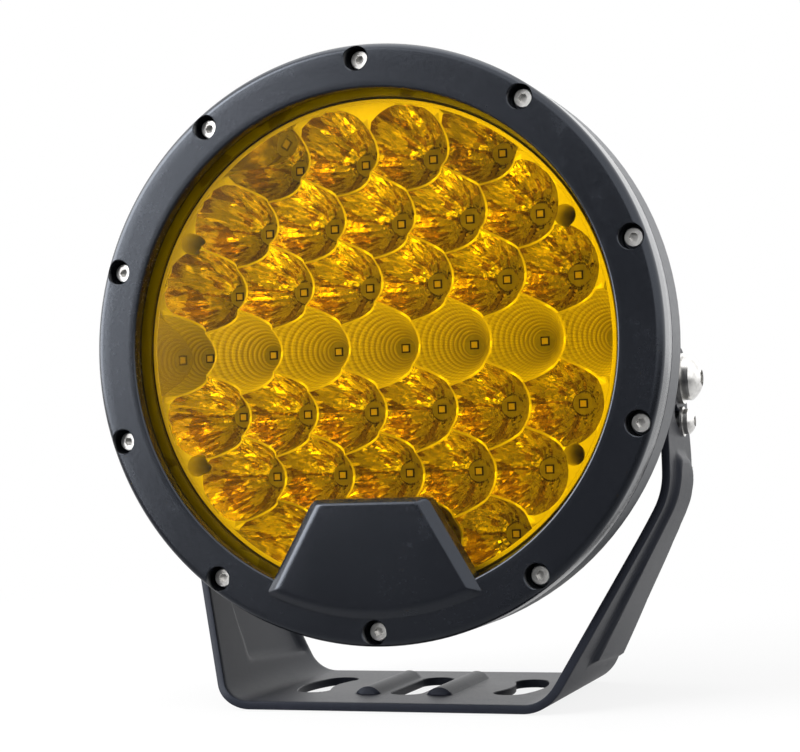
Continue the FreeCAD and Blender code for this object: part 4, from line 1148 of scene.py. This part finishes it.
def make_camera(settings):
    """Camera in front and to the right, a little rolled."""
    ahead = (CAMERA_AIM - CAMERA_PLACE).normalized()
    right = ahead.cross(Vector((0, 0, 1))).normalized()
    up = right.cross(ahead)
    lean = settings.roll
    top = up * math.cos(lean) + right * math.sin(lean)
    side = right * math.cos(lean) - up * math.sin(lean)
    turn = Matrix((side, top, -ahead)).transposed().to_4x4()
    data = bpy.data.cameras.new("camera")
    data.lens = settings.lens
    data.sensor_width = 36
    data.sensor_fit = "HORIZONTAL"
    data.clip_start = 0.01
    camera = bpy.data.objects.new("camera", data)
    camera.matrix_world = Matrix.Translation(CAMERA_PLACE) @ turn
    bpy.context.scene.collection.objects.link(camera)
    bpy.context.scene.camera = camera


def make_stage(settings):
    scene = bpy.context.scene
    scene.view_settings.view_transform = "Standard"
    make_floor()
    make_world()
    centre = (0, 0, AXIS_Z * MM)
    soft_box("key", (-1.5, -1.02, 0.6), centre, 1.6, 1.6, settings.key)
    soft_box("upper", (-1.0, -1.3, 0.95), centre, 0.7, 0.8, settings.key * 0.13)
    soft_box("top", (-0.2, -0.1, 1.6), centre, 1.4, 1.4, settings.top)
    make_camera(settings)


# ------------------------------------------------------------------ operators and panel


class FOGLAMP_OT_bracket(bpy.types.Operator):
    """Press the slotted foot and its two arms"""
    bl_idname = "foglamp.bracket"
    bl_label = "Mounting bracket"

    def execute(self, context):
        make_bracket(context.scene.foglamp_bracket)
        return {"FINISHED"}


class FOGLAMP_OT_bezel(bpy.types.Operator):
    """Cast the bezel ring with its screw pockets and raised block"""
    bl_idname = "foglamp.bezel"
    bl_label = "Front bezel"

    def execute(self, context):
        make_bezel(context.scene.foglamp_head)
        return {"FINISHED"}


class FOGLAMP_OT_reflector(bpy.types.Operator):
    """Mould the reflector with its 37 cups"""
    bl_idname = "foglamp.reflector"
    bl_label = "Reflector"

    def execute(self, context):
        make_reflector(context.scene.foglamp_optics)
        return {"FINISHED"}


class FOGLAMP_OT_glass(bpy.types.Operator):
    """Finish the amber lens and its gasket"""
    bl_idname = "foglamp.glass"
    bl_label = "Lens and gasket"

    def execute(self, context):
        coat_glass(context.scene.foglamp_optics)
        return {"FINISHED"}


class FOGLAMP_OT_emitters(bpy.types.Operator):
    """Finish the LED packages, their board and its pad"""
    bl_idname = "foglamp.emitters"
    bl_label = "LEDs and board"

    def execute(self, context):
        coat_emitters()
        return {"FINISHED"}


class FOGLAMP_OT_fasteners(bpy.types.Operator):
    """Finish the bolts, screws and washers"""
    bl_idname = "foglamp.fasteners"
    bl_label = "Bolts, screws and washers"

    def execute(self, context):
        coat_fasteners(context.scene.foglamp_head)
        return {"FINISHED"}


class FOGLAMP_OT_housing(bpy.types.Operator):
    """Finish the housing, the rear cover, the vent and the gland"""
    bl_idname = "foglamp.housing"
    bl_label = "Housing and cover"

    def execute(self, context):
        coat_housing(context.scene.foglamp_head)
        return {"FINISHED"}


class FOGLAMP_OT_driver(bpy.types.Operator):
    """Finish the driver board and what stands on it"""
    bl_idname = "foglamp.driver"
    bl_label = "Driver"

    def execute(self, context):
        coat_driver()
        return {"FINISHED"}


class FOGLAMP_OT_stage(bpy.types.Operator):
    """Lay the floor, the lights and the camera"""
    bl_idname = "foglamp.stage"
    bl_label = "Stage"

    def execute(self, context):
        make_stage(context.scene.foglamp_stage)
        return {"FINISHED"}


MAKERS = (FOGLAMP_OT_bracket, FOGLAMP_OT_bezel, FOGLAMP_OT_reflector, FOGLAMP_OT_glass,
          FOGLAMP_OT_emitters, FOGLAMP_OT_fasteners, FOGLAMP_OT_housing, FOGLAMP_OT_driver,
          FOGLAMP_OT_stage)
SETTINGS = {"foglamp_bracket": BracketSettings, "foglamp_head": HeadSettings,
            "foglamp_optics": OpticSettings, "foglamp_stage": StageSettings}


class FOGLAMP_PT_panel(bpy.types.Panel):
    """Builds the fog lamp piece by piece"""
    bl_idname = "FOGLAMP_PT_panel"
    bl_label = "Fog lamp"
    bl_space_type = "VIEW_3D"
    bl_region_type = "UI"
    bl_category = "Fog lamp"

    def draw(self, context):
        for maker in MAKERS:
            self.layout.operator(maker.bl_idname)
        for name, group in SETTINGS.items():
            box = self.layout.box()
            for key in group.__annotations__:
                box.prop(getattr(context.scene, name), key)


CLASSES = (*SETTINGS.values(), *MAKERS, FOGLAMP_PT_panel)


def register():
    for cls in CLASSES:
        bpy.utils.register_class(cls)
    for name, group in SETTINGS.items():
        setattr(bpy.types.Scene, name, PointerProperty(type=group))


def unregister():
    for name in SETTINGS:
        delattr(bpy.types.Scene, name)
    for cls in reversed(CLASSES):
        bpy.utils.unregister_class(cls)


def main():
    register()
    for maker in MAKERS:
        group, name = maker.bl_idname.split(".")
        getattr(getattr(bpy.ops, group), name)()


if __name__ == "__main__":
    main()
